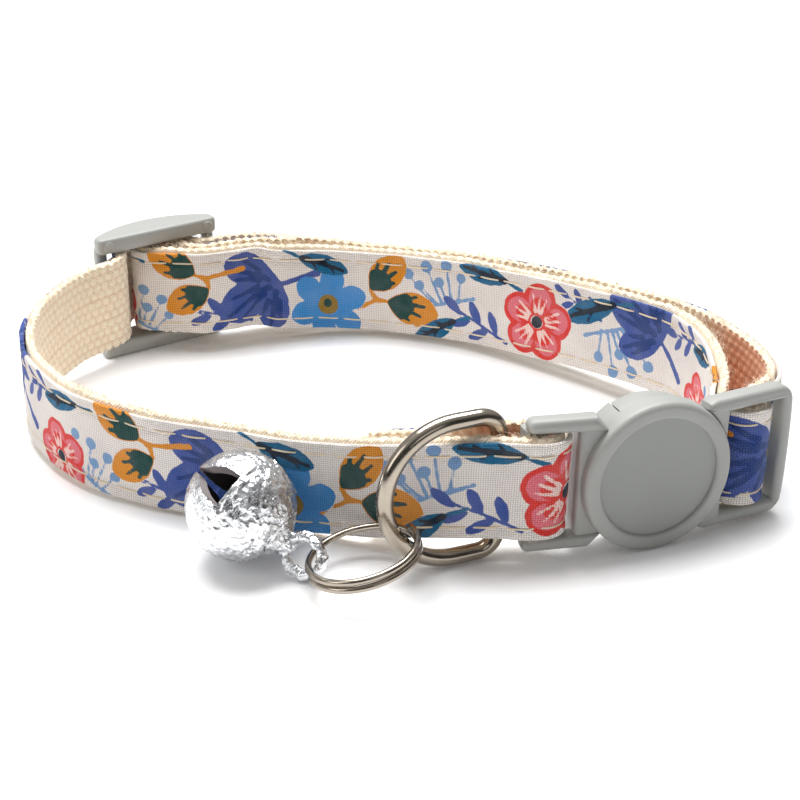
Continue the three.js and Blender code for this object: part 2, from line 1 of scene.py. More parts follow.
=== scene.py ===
"""Looks of a cat collar: printed strap on webbing, buckle, slide adjuster, D-ring, split ring and bell.

Sizes are in millimetres in the source's working frame. Each mesh is shifted by CENTRE and scaled by MM.
The numbers of materials, floor, lights and sky are in metres.
"""
import math
from math import pi, radians

import bmesh
import bpy
import numpy as np
from mathutils import Euler, Matrix, Vector, noise


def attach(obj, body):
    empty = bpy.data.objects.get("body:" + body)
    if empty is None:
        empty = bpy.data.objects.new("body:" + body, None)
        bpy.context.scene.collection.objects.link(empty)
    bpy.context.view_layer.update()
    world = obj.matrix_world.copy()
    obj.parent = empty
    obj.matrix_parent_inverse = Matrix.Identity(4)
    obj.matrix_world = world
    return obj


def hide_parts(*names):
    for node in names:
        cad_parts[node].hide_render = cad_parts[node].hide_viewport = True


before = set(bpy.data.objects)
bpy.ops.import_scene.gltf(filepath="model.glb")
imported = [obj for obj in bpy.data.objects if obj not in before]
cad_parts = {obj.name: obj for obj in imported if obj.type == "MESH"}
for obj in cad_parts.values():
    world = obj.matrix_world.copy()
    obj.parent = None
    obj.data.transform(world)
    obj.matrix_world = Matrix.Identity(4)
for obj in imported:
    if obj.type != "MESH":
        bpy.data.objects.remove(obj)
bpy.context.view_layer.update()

MM = 0.001
CENTRE = np.array([0.48, 2.79, 0.0])
QUARTER = pi / 2

# Strap
STRAP_WIDTH = 10.0
COVER_WIDTH = 9.6
WEBBING_THICK = 0.95
COVER_THICK = 0.5
SEAM_GAP = 0.15
WEBBING_FACE = -(SEAM_GAP / 2 + WEBBING_THICK)
PRINT_FACE = SEAM_GAP / 2 + COVER_THICK
COVER_LOW = (STRAP_WIDTH - COVER_WIDTH) / 2
COVER_HIGH = (STRAP_WIDTH + COVER_WIDTH) / 2
STEP = 0.3
WEBBING_STEP = 0.2
COVER_STEP = 0.25

# Webbing: rows of yarn, pebbled edges, and fibres on the edges and at the cut ends
YARN_PITCH = 1.02
YARN_ROWS = 11
YARN_RELIEF = 0.22
PEBBLE_RELIEF = 0.26
EDGE_WANDER = 0.08
EDGE_FIBRES = 4600
END_FIBRES = 150
FIBRE_FLOOR = 0.03

# Painted warm shade and bounce light on the webbing's face where the next layer is this far off: none, full,
# full, none
GAP_SHADE_ROOM = (2.8, 4.0, 5.0, 13.0)
GAP_SHADE_STRENGTH = 0.6
LAYER_BESIDE = 1.5
LAYER_LEAST = 1.2
OPEN_ROOM = 99.0

# Cotton: weave, ripples, stitches, and the dip of the cloth along them
WEAVE_PITCH = 0.215
RIPPLE = 0.06
FACE_SINK = 0.03
DIP = 0.07
DIP_HALF = 0.34
PUCKER = 0.1
PUCKER_HALF = 0.8
STITCH_IN = 1.2
STITCH_PITCH = 3.05
STITCH_GAP = 0.16
STITCH_SINK = 0.22
THREAD_RADIUS = 0.1

# Buckle, in its own frame: u along, w up, n out of the face
BUCKLE_X = 24.3
BUCKLE_Y = -23.6
BUCKLE_TURN = radians(21.35)
BUCKLE_TILT = radians(-2)
TILT_KEEP = 1.0
TILT_FADE = 13.0
DISC_RADIUS = 7.5
DISC_THICK = 2.2
DISC_EDGE = 0.6
DISC_BACK_EDGE = 0.25
RECESS_RADIUS = 5.95
RECESS_DEPTH = 0.4
RECESS_EDGE = 0.35
CORE_RADIUS = 5.6
CORE_BACK = -5.2
CORE_FRONT = -1.2
CORE_EDGE = 0.3
SHOULDER_INNER = 5.0
ARM_INNER = 5.9
ARM_OUTER = 6.75
ARM_ANGLE = radians(118)
PARTING = radians(1)
FRAME_HALF = 6.65
FRAME_DEPTH = 2.0
FRAME_LEAN = radians(8)
SLOT_HALF = 5.3
SOCKET_FRONT = -0.7
SOCKET_HINGE = -5.5
SOCKET_END = -12.8
SOCKET_SHOULDER = [(-5.0, 5.15), (-6.4, FRAME_HALF)]
CHEEK = [(-7.9, -6.0), (-4.6, -5.2), (-4.6, 5.2), (-7.9, 6.0)]
WALL = [(-7.88, -5.8), (-4.6, -5.2), (-4.6, 4.6), (-7.88, 4.6)]
PLUG_FRONT = -0.45
PLUG_HINGE = 4.5
PLUG_END = 14.8
PLUG_SHOULDER = [(5.8, FRAME_HALF), (5.1, FRAME_HALF - 0.3)]
END_BOW = 0.25
END_BAR = 1.25
END_STRAIGHT = 4.7
RAIL_CORNER = 1.7
FACE_CUT = DISC_RADIUS + 0.12
FACE_CUT_SPAN = (radians(50), radians(43))
WEB_SIDE = [(7.2, 2.7), (7.2, 5.9)]
WEB_SPAN = (radians(49), radians(20))
ROOT_SIDE = [(7.2, -4.2), (7.2, 4.2)]
ROOT_RADIUS = 6.3
ROOT_ANGLE = radians(40)
# Plates: back, front, rounding of the edges
SHOULDER_PLATE = (CORE_BACK, -1.4, 0.3)
RAIL_PLATE = (-FRAME_DEPTH, 0, 0.62)
CHEEK_PLATE = (-FRAME_DEPTH, -0.3, 0.5)
WALL_PLATE = (-4.1, -0.32, 0.5)
ARM_PLATE = (-5.0, -2.5, 0.3)
PLUG_PLATE = (-FRAME_DEPTH, 0, 0.55)
WEB_PLATE = (-FRAME_DEPTH, -0.03, 0.1)
# Centre bars: from and to along u, from and to along n, corner, half length
SOCKET_BAR = (-12.65, -10.3, -4.35, -2.45, 0.6, SLOT_HALF + 0.15)
PLUG_BAR = (9.5, 10.9, -4.05, -2.65, 0.5, SLOT_HALF + 0.5)
BAR_EDGE = 0.1
# A plate's frame turned so that its thickness runs along w
UPRIGHT = Matrix(((1, 0, 0, 0), (0, 0, -1, 0), (0, 1, 0, 0), (0, 0, 0, 1)))

# Slider, in its own frame: t along, h out of the face
SLIDER_X = -26.46
SLIDER_Y = 22.73
SLIDER_TURN = radians(33)
SLIDER_HALF = 7.3
SLIDER_HEIGHT = 14.3
SLIDER_SLOT_HALF = 5.35
SLIDER_ARCH = 4.0
SLIDER_END_THICK = 1.6
SLIDER_EDGE = 0.42
SLIDER_TOE = 0.55
SLIDER_CROWN_IN = 0.6
SLIDER_SHOULDER = [(SLIDER_HALF, 1.35), (SLIDER_HALF - 0.2, 1.7)]
SLIDER_OVERLAP = 0.4
# Bars: from and to along t, from and to along h, corner
SLIDER_BARS = ((-0.7, 0.7, 0.9, 2.3, 0.45), (6.0, 7.28, 0.75, 2.1, 0.45), (-7.28, -6.0, 0.75, 2.1, 0.45))
PAD_AT = 6.1
PAD_PROFILE = [(0, -0.4), (0.62, -0.4), (0.62, 0.05), (0.52, 0.14), (0.3, 0.1), (0, 0.08)]

# D-ring and split ring
D_BAR = (9.4, -24.52)
D_LIFT = 0.1
D_TURN = radians(23)
D_WIRE = 1.6
D_HEIGHT = 15.3
D_DEPTH = 12.75
D_CORNER = 2.0
RING_AT = (-2.75, -29.77, 3.1)
RING_OUTER = 10.75
RING_WIRE = 0.64
RING_PITCH = 0.76
RING_TURNS = 1.54
RING_START = radians(195)
RING_ROLL = radians(12.5)
RING_POINTS = 260

# Bell, in its own frame: slit along x, loop and neck down z
BELL_AT = (-14.0, -25.2, 5.6)
BELL_RADIUS = 5.1
BELL_WALL = 0.55
BELL_AXIS = Vector((0.773, -0.475, -0.42)).normalized()
SLIT_SIDE = Vector((-0.21, -0.656, 0.724)).normalized()
SLIT_HALF = [
    (0, 0.2), (2.4, 0.26), (3.2, 0.36), (3.6, 0.55), (3.95, 1.0), (4.3, 1.5), (4.8, 1.7), (5.8, 1.75),
]
SLIT_FROM = 0.3
SLIT_TO = 7.0
LOOP_FACING = Vector((0.417, 0.88, -0.227)).normalized()
LOOP_REACH = 7.55
LOOP_RADIUS = 1.85
LOOP_WIRE = 1.0
LOOP_POINTS = 120
NECK_TIP = -6.5
NECK_ROOT = -4.5
NECK_STEP = 0.05
NECK_RADIUS = 0.62
NECK_FLARE = 1.5
NECK_LENGTH = 1.75
PEA_RADIUS = 1.2
PEA_CLEAR = 0.25
# Foil facets: size as facets per millimetre, height
FACETS = ((0.8, 0.3), (2.0, 0.17))
FOIL_SEED = Vector((9, 4, 7))

# Floor and lights: place, target, size and power
FLOOR_HALF = 3
LIGHTS = {
    "top_softbox": ((-0.05, 0.18, 0.55), (0, 0, 0), (0.5, 0.36), 5.9),
    "left_softbox": ((-0.6, -0.2, 0.35), (0, 0, 0.01), (0.3, 0.4), 0.9),
    "front_fill": ((0.25, -0.75, 0.4), (0, 0, 0.01), (0.4, 0.25), 0.32),
}
# Sky: the direction that is its top, the span along it, and (share of the span, brightness)
SKY_UP = (-0.2, 0.6, 1.0)
SKY_SPAN = (-0.8, 1.2)
SKY = ((0.0, 0.34), (0.22, 0.08), (0.5, 0.13), (0.66, 0.75), (1.0, 0.95))
SKY_STRENGTH = 0.55

# Camera, placed in millimetres in the working frame
CAMERA_AT = (0.5, -176.7, 89.5)
CAMERA_PITCH = radians(64.2)
CAMERA_LENS = 85.5

# Spine stations in the order of the strap's length: plan x, plan y, height of the lower edge
SOCKET_BACK_LAYER = [(-2.1, -20.75, 1.1), (2.4, -22.55, 1.9), (5.8, -22.85, 2.35), (9.4, -22.32, 2.5)]
FRONT_LAYER = [
    (11.9, -26.85, 2.5), (9.2, -26.68, 2.5), (5.5, -26.3, 2.35), (2, -25.0, 1.8), (-2, -23.3, 1.1),
    (-6, -21.8, 0.6), (-10, -20.35, 0.25), (-14, -18.75, 0.15), (-18.4, -17.4, 0.2), (-23, -15.85, 0.25),
    (-26.5, -14.1, 0.35), (-29.3, -12.4, 0.45), (-32.3, -9.7, 0.6), (-35, -6.1, 0.75), (-36.9, -2.6, 0.9),
    (-37.9, 1, 1.05), (-38.2, 4.6, 1.25), (-37.7, 8.6, 1.5), (-36.4, 12.2, 1.8), (-34.9, 15, 2.0),
]
OUTER_LAYER = [
    (-18, 27.55, 2.1), (-14.5, 28.7, 1.7), (-10.5, 29.0, 1.2), (-7.5, 28.85, 0.95), (-4, 28.4, 0.7),
    (0.5, 27.5, 0.6), (5, 26.1, 0.65), (9.2, 24.3, 0.8), (14.7, 20.7, 1.2), (18.5, 17.7, 1.5),
    (22, 14.6, 1.8), (27, 9.9, 2.2), (30, 6.9, 2.4), (32.5, 3.5, 2.5), (34.6, -0.2, 2.5),
    (36.2, -3.8, 2.5), (37.0, -7.0, 2.5), (37.0, -9.3, 2.5), (36.3, -11.3, 2.5), (35.2, -12.8, 2.5),
]
INNER_LAYER = [
    (30.35, -14.1, 2.5), (31, -11.6, 2.5), (31.35, -8.3, 2.5), (31.35, -4.7, 2.5), (30.9, -1.5, 2.5),
    (30.1, 1.2, 2.5), (28.9, 3.8, 2.45), (26.5, 6.5, 2.35), (21.4, 11.6, 1.9), (18.2, 14.4, 1.6),
    (13.4, 18.3, 1.1), (8, 22.1, 0.75), (4.2, 23.9, 0.65), (0, 25.15, 0.6), (-4.2, 25.9, 0.7),
    (-8, 25.9, 0.95), (-10.7, 25.1, 1.25), (-13.4, 24.1, 1.6),
]
# The same in the slider's frame (t, h, height) and in the buckle's (u, n, height)
SLIDER_PASS = [
    (-8.6, -1.15, 2.15), (-6.7, -0.65, 2.15), (-5.0, 0.6, 2.15), (-4.25, 2.4, 2.15), (-3.35, 4.15, 2.15),
    (-1.9, 5.25, 2.15), (0, 5.65, 2.15), (1.9, 5.25, 2.15), (3.35, 4.15, 2.15), (4.1, 2.7, 2.15),
    (4.7, 1.2, 2.15), (5.6, 0.05, 2.15), (6.9, -0.15, 2.15),
]
SLIDER_INNER = [
    (9.6, -4.85, 2.0), (6.7, -4.5, 2.15), (3.3, -3.55, 2.15), (1.5, -2.2, 2.15), (-0.2, -0.95, 2.15),
]
END_LAYER = [
    (1.6, 3.15, 2.15), (2.45, 1.95, 2.15), (3.15, 0.35, 2.15), (4.5, -1.45, 2.15), (6.8, -2.0, 2.15),
    (9.5, -2.35, 2.1), (12.8, -3.3, 1.9), (14.9, -4.3, 1.6),
]
PLUG_ENTRY = [(12.75, -5.35, 2.5), (12.25, -4.3, 2.5)]
PLUG_EXIT = [(8.2, -4.9, 2.5)]
# Half turns round a bar: its middle in the same frames, radius, start and end in degrees, height
SOCKET_FOLD = (-10.8, -3.4, 2.3, -90, 90, 2.5)
PLUG_FOLD = (10.2, -3.35, 2.1, 0, 180, 2.5)
SLIDER_FOLD = (0, 1.6, 2.1, -130, -270, 2.15)


def rgb(red, green, blue):
    """An 8-bit sRGB colour as linear RGBA."""
    def linear(value):
        value /= 255
        return value / 12.92 if value <= 0.04045 else ((value + 0.055) / 1.055) ** 2.4
    return (linear(red), linear(green), linear(blue), 1.0)


def polar(radius, angle):
    return radius * math.cos(angle), radius * math.sin(angle)


# Plan frames
def on_buckle(u, n, lift):
    cos, sin = polar(1, BUCKLE_TURN)
    return (BUCKLE_X + u * cos + n * sin, BUCKLE_Y + u * sin - n * cos, lift)


def on_slider(t, h, lift):
    cos, sin = polar(1, SLIDER_TURN)
    return (SLIDER_X + t * cos - h * sin, SLIDER_Y + t * sin + h * cos, lift)


def fold(place, across, out, radius, start, end, lift):
    angles = [radians(start + (end - start) * i / 6) for i in range(7)]
    return [place(across + radius * math.cos(a), out + radius * math.sin(a), lift) for a in angles]


def spine_rows():
    return (
        SOCKET_BACK_LAYER
        + fold(on_buckle, *SOCKET_FOLD)
        + FRONT_LAYER
        + [on_slider(*row) for row in SLIDER_PASS]
        + OUTER_LAYER
        + [on_buckle(*row) for row in PLUG_ENTRY]
        + fold(on_buckle, *PLUG_FOLD)
        + [on_buckle(*row) for row in PLUG_EXIT]
        + INNER_LAYER
        + [on_slider(*row) for row in SLIDER_INNER]
        + fold(on_slider, *SLIDER_FOLD)
        + [on_slider(*row) for row in END_LAYER]
    )


def centripetal(points, per_span=40):
    """A centripetal Catmull-Rom curve through the points."""
    points = np.array(points, float)
    points = np.vstack([2 * points[0] - points[1], points, 2 * points[-1] - points[-2]])
    t = np.linspace(0, 1, per_span, endpoint=False)[:, None]
    out = []
    for p0, p1, p2, p3 in zip(points, points[1:], points[2:], points[3:]):
        d0, d1, d2 = (np.sum((b - a) ** 2) ** 0.25 for a, b in ((p0, p1), (p1, p2), (p2, p3)))
        m1 = ((p1 - p0) / d0 - (p2 - p0) / (d0 + d1) + (p2 - p1) / d1) * d1
        m2 = ((p2 - p1) / d1 - (p3 - p1) / (d1 + d2) + (p3 - p2) / d2) * d1
        c2 = -3 * p1 + 3 * p2 - 2 * m1 - m2
        c3 = 2 * p1 - 2 * p2 + m1 + m2
        out.append(p1 + m1 * t + c2 * t**2 + c3 * t**3)
    return np.vstack(out + [points[-2:-1]])


def resample(points, step):
    """(points, distances) at even steps along a line."""
    run = np.concatenate([[0], np.cumsum(np.linalg.norm(np.diff(points, axis=0), axis=1))])
    count = int(round(run[-1] / step))
    at = np.linspace(0, run[-1], count + 1)
    return np.stack([np.interp(at, run, points[:, i]) for i in range(3)], 1), at


class Strap:
    """The strap's spine, and the place of any point of the strap from its run, side and height."""

    def __init__(self):
        self.points, self.run = resample(centripetal(spine_rows()), STEP)
        along = np.gradient(self.points[:, :2], axis=0)
        for _ in range(3):
            along = (np.roll(along, 1, 0) + 2 * along + np.roll(along, -1, 0)) / 4
        along[0], along[-1] = along[1], along[-2]
        along /= np.linalg.norm(along, axis=1)[:, None]
        self.left = np.stack([-along[:, 1], along[:, 0]], 1)
        self.length = self.run[-1]

    def stations(self, step):
        return np.linspace(0, self.length, int(round(self.length / step)) + 1)

    def midline(self, side):
        """The length of a layer of the strap that lies at a side of the spine."""
        run = self.stations(STEP)
        line = self.place(run, np.full_like(run, side), np.full_like(run, STRAP_WIDTH / 2))
        return float(np.sum(np.linalg.norm(np.diff(line, axis=0), axis=1)))

    def room_ahead(self):
        """The clear distance from the webbing's face to the next layer, at each station."""
        plan, face = self.points[:, :2], -self.left
        offset = plan[None, :, :] - plan[:, None, :]
        ahead = np.einsum("ijk,ik->ij", offset, face)
        beside = np.abs(np.einsum("ijk,ik->ij", offset, np.stack([face[:, 1], -face[:, 0]], 1)))
        met = (beside < LAYER_BESIDE) & (ahead > LAYER_LEAST)
        return np.where(met, ahead, OPEN_ROOM).min(1)

    def place(self, run, side, height):
        """Points in the working frame, for arrays of one shape."""
        x, y, lift = (np.interp(run, self.run, self.points[:, i]) for i in range(3))
        lx, ly = (np.interp(run, self.run, self.left[:, i]) for i in range(2))
        size = np.hypot(lx, ly)
        return lean_with_buckle(np.stack([x + side * lx / size, y + side * ly / size, lift + height], -1))


def lean_with_buckle(point):
    """Tilts the strap with the buckle where they meet, and fades the tilt out along it."""
    cos, sin = polar(1, BUCKLE_TURN)
    dx, dy = point[..., 0] - BUCKLE_X, point[..., 1] - BUCKLE_Y
    u, n = dx * cos + dy * sin, dx * sin - dy * cos
    beside = np.maximum(np.maximum(SOCKET_END - u, u - PLUG_END), 0)
    behind = np.maximum(CORE_BACK - TILT_KEEP - n, 0)
    t = np.clip((np.hypot(beside, behind) - TILT_KEEP) / TILT_FADE, 0, 1)
    angle = BUCKLE_TILT * (1 - t * t * (3 - 2 * t))
    up = point[..., 2] - DISC_RADIUS
    slide = u * np.cos(angle) - up * np.sin(angle) - u
    height = DISC_RADIUS + u * np.sin(angle) + up * np.cos(angle)
    return np.stack([point[..., 0] + slide * cos, point[..., 1] + slide * sin, height], -1)


# Mesh making
def add_mesh(name, verts, faces, material, matrix=None):
    """A mesh object from points in millimetres in the working frame, or in the frame of matrix."""
    verts = np.asarray(verts, float)
    if matrix is not None:
        verts = verts @ np.array(matrix.to_3x3()).T + np.array(matrix.translation)
    mesh = bpy.data.meshes.new(name)
    mesh.from_pydata(((verts + CENTRE) * MM).tolist(), [], faces)
    mesh.materials.append(material)
    mesh.polygons.foreach_set("use_smooth", [True] * len(mesh.polygons))
    return link(bpy.data.objects.new(name, mesh))


def ring_faces(count, size, closed=False, capped=True):
    """Faces of a skin over rings of points."""
    ring = np.arange(count if closed else count - 1)[:, None]
    point = np.arange(size)
    here, there, after = ring * size, (ring + 1) % count * size, (point + 1) % size
    quads = np.stack([here + point, here + after, there + after, there + point], -1).reshape(-1, 4).tolist()
    if capped and not closed:
        quads.append(list(range(size))[::-1])
        quads.append([(count - 1) * size + i for i in range(size)])
    return quads


def skin(name, rings, material, closed=False, matrix=None):
    count, size, _ = rings.shape
    return add_mesh(name, rings.reshape(-1, 3), ring_faces(count, size, closed), material, matrix=matrix)


def sweep(name, path, side, radius, material, sides, closed, matrix=None):
    """A round wire along a path. side is a direction across the path, one for each point."""
    along = np.gradient(path, axis=0)
    if closed:
        along = np.roll(path, -1, 0) - np.roll(path, 1, 0)
    along /= np.linalg.norm(along, axis=1)[:, None]
    first = side - np.sum(side * along, 1)[:, None] * along
    first /= np.linalg.norm(first, axis=1)[:, None]
    second = np.cross(along, first)
    a = np.linspace(0, 2 * pi, sides, endpoint=False)
    circle = np.cos(a)[:, None] * first[:, None] + np.sin(a)[:, None] * second[:, None]
    return skin(name, path[:, None] + radius * circle, material, closed, matrix)


def sharpen(obj, angle=32):
    """Edges turned by more than the angle stay crisp."""
    work = bmesh.new()
    work.from_mesh(obj.data)
    bmesh.ops.remove_doubles(work, verts=work.verts, dist=1e-7)
    bmesh.ops.recalc_face_normals(work, faces=work.faces)
    for edge in work.edges:
        edge.smooth = len(edge.link_faces) == 2 and edge.calc_face_angle(0) < radians(angle)
    for face in work.faces:
        face.smooth = True
    work.to_mesh(obj.data)
    work.free()


def link(obj):
    bpy.context.scene.collection.objects.link(obj)
    return obj


def made_mesh(obj):
    """The object's mesh with its modifiers or bevels worked out."""
    bpy.context.view_layer.update()
    return bpy.data.meshes.new_from_object(obj.evaluated_get(bpy.context.evaluated_depsgraph_get()))


def join(name, *objs):
    """One object from several."""
    with bpy.context.temp_override(active_object=objs[0], selected_editable_objects=list(objs)):
        bpy.ops.object.join()
    objs[0].name = name
    return objs[0]


def flat_plate(name, outline, low, high, edge, material, matrix):
    """An anticlockwise outline made solid with rounded edges."""
    curve = bpy.data.curves.new(name, "CURVE")
    curve.dimensions = "2D"
    curve.fill_mode = "BOTH"
    curve.extrude = (high - low) / 2 - edge
    curve.bevel_depth = edge
    curve.bevel_resolution = 3
    curve.offset = -edge
    spline = curve.splines.new("POLY")
    spline.points.add(len(outline) - 1)
    for point, (x, y) in zip(spline.points, outline):
        point.co = (x, y, 0, 1)
    spline.use_cyclic_u = True
    source = link(bpy.data.objects.new(name, curve))
    mesh = made_mesh(source)
    verts = np.empty(len(mesh.vertices) * 3)
    mesh.vertices.foreach_get("co", verts)
    verts = verts.reshape(-1, 3) + np.array([0, 0, (low + high) / 2])
    faces = [list(face.vertices) for face in mesh.polygons]
    bpy.data.objects.remove(source)
    bpy.data.curves.remove(curve)
    bpy.data.meshes.remove(mesh)
    obj = add_mesh(name, verts, faces, material, matrix=matrix)
    sharpen(obj)
    return obj


def arc(x, y, radius, start, end, count=8):
    angles = [start + (end - start) * i / count for i in range(count + 1)]
    return [(x + radius * math.cos(a), y + radius * math.sin(a)) for a in angles]


def rounded(x0, x1, y0, y1, radius):
    """A rectangle's outline with round corners, anticlockwise."""
    x0, x1, y0, y1 = x0 + radius, x1 - radius, y0 + radius, y1 - radius
    corners = enumerate(((x1, y0), (x1, y1), (x0, y1), (x0, y0)))
    return sum((arc(x, y, radius, (i - 1) * QUARTER, i * QUARTER) for i, (x, y) in corners), [])


def lathe(name, profile, material, matrix, sides=128):
    """A body turned round its own Z from (radius, height) pairs that start and end on the axis."""
    a = np.linspace(0, 2 * pi, sides, endpoint=False)
    inner = profile[1:-1]
    verts = [(r * math.cos(x), r * math.sin(x), z) for r, z in inner for x in a]
    verts += [(0, 0, profile[0][1]), (0, 0, profile[-1][1])]
    faces = ring_faces(len(inner), sides, capped=False)
    last = (len(inner) - 1) * sides
    faces += [[len(verts) - 2, (k + 1) % sides, k] for k in range(sides)]
    faces += [[len(verts) - 1, last + k, last + (k + 1) % sides] for k in range(sides)]
    obj = add_mesh(name, verts, faces, material, matrix=matrix)
    sharpen(obj, 40)
    return obj


# Node making
class Nodes:
    """Short calls that add nodes to a tree."""

    def __init__(self, tree):
        self.tree = tree

    def node(self, kind, inputs=(), output=0, **settings):
        node = self.tree.nodes.new("ShaderNode" + kind)
        for key, value in settings.items():
            setattr(node, key, value)
        for key, value in dict(inputs).items():
            if isinstance(value, bpy.types.NodeSocket):
                self.tree.links.new(value, node.inputs[key])
            else:
                node.inputs[key].default_value = value
        return node.outputs[output]

    def ramp(self, value, low, high, to_low=0.0, to_high=1.0):
        """The value's span from low to high, spread evenly over another span."""
        spans = {"From Min": low, "From Max": high, "To Min": to_low, "To Max": to_high}
        return self.node("MapRange", {"Value": value, **spans})


class Shader(Nodes):
    """A node material with a Principled shader."""

    def __init__(self, name, **sockets):
        self.material = bpy.data.materials.new(name)
        self.material.use_nodes = True
        super().__init__(self.material.node_tree)
        self.bsdf = self.tree.nodes["Principled BSDF"]
        self.spot = self.node("TexCoord", output="Object")
        for key, value in sockets.items():
            self.bsdf.inputs[key.replace("_", " ")].default_value = value

    def math(self, operation, first, second=0.0):
        return self.node("Math", {0: first, 1: second}, operation=operation)

    def times(self, first, second):
        return self.math("MULTIPLY", first, second)

    def plus(self, first, second):
        return self.math("ADD", first, second)

    def mix(self, factor, first, second, blend="MIX"):
        inputs = {"Factor": factor, 6: first, 7: second}
        return self.node("Mix", inputs, output=2, data_type="RGBA", blend_type=blend)

    def noise(self, scale, detail, rough, distortion=0.0):
        shape = {"Scale": scale, "Detail": detail, "Roughness": rough, "Distortion": distortion}
        return self.node("TexNoise", {"Vector": self.spot, **shape})

    def attribute(self, name):
        return self.node("Attribute", output="Fac", attribute_name=name, attribute_type="GEOMETRY")

    def bump(self, height, distance, strength, **below):
        return self.node("Bump", {"Height": height, "Distance": distance, "Strength": strength, **below})

    def to(self, socket, value):
        self.tree.links.new(value, self.bsdf.inputs[socket])

    def gloss(self, scale, detail, smooth, rough):
        """Roughness that wanders between two values."""
        self.to("Roughness", self.ramp(self.noise(scale, detail, 0.6), 0.3, 0.7, smooth, rough))


# Print: motifs on a repeat of cloth. Run along the strap and height across it, in millimetres.
REPEAT = 78.0
LAYERS = {
    "dusty": rgb(122, 160, 204),
    "petal": rgb(64, 88, 162),
    "vein": rgb(24, 60, 126),
    "bright": rgb(66, 146, 214),
    "stem": rgb(150, 120, 40),
    "ochre": rgb(228, 146, 34),
    "calyx": rgb(10, 68, 64),
    "teal": rgb(16, 104, 146),
    "midrib": rgb(14, 34, 52),
    "coral": rgb(228, 58, 50),
    "pink": rgb(232, 116, 128),
    "pale": rgb(250, 214, 206),
}
GROUND = ("petal", "vein", "dusty", "teal", "midrib")
# Kind, run, height, turn in degrees, size
MOTIFS = [
    ("tulip", 3.4, 6.2, 28, 1.3),
    ("berries", 10.6, 2.9, 165, 1.3),
    ("leaf", 9.6, 8.7, -24, 1.3),
    ("sprig", 12.4, 6.6, 18, 0.9),
    ("rosette", 20.2, 4.4, 10, 1.25),
    ("leaf", 24.2, 8.4, 8, 1.15),
    ("sprig", 25.4, 1.4, 20, 1.2),
    ("berries", 31.6, 7.0, -12, 1.25),
    ("twig", 39.6, 4.4, 176, 1.35),
    ("leaf", 31.0, 2.6, -32, 1.1),
    ("bloom", 46.6, 2.9, 40, 1.3),
    ("leaf", 50.2, 8.8, 196, 1.1),
    ("tulip", 52.6, 5.6, -30, 1.3),
    ("sprig", 57.0, 1.2, 14, 1.1),
    ("twig", 62.2, 6.6, 14, 1.25),
    ("berries", 66.4, 2.2, 24, 1.1),
    ("leaf", 69.4, 8.6, -10, 1.0),
    ("rosette", 72.6, 1.9, 60, 1.05),
    ("sprig", 74.6, 8.2, -12, 0.95),
]


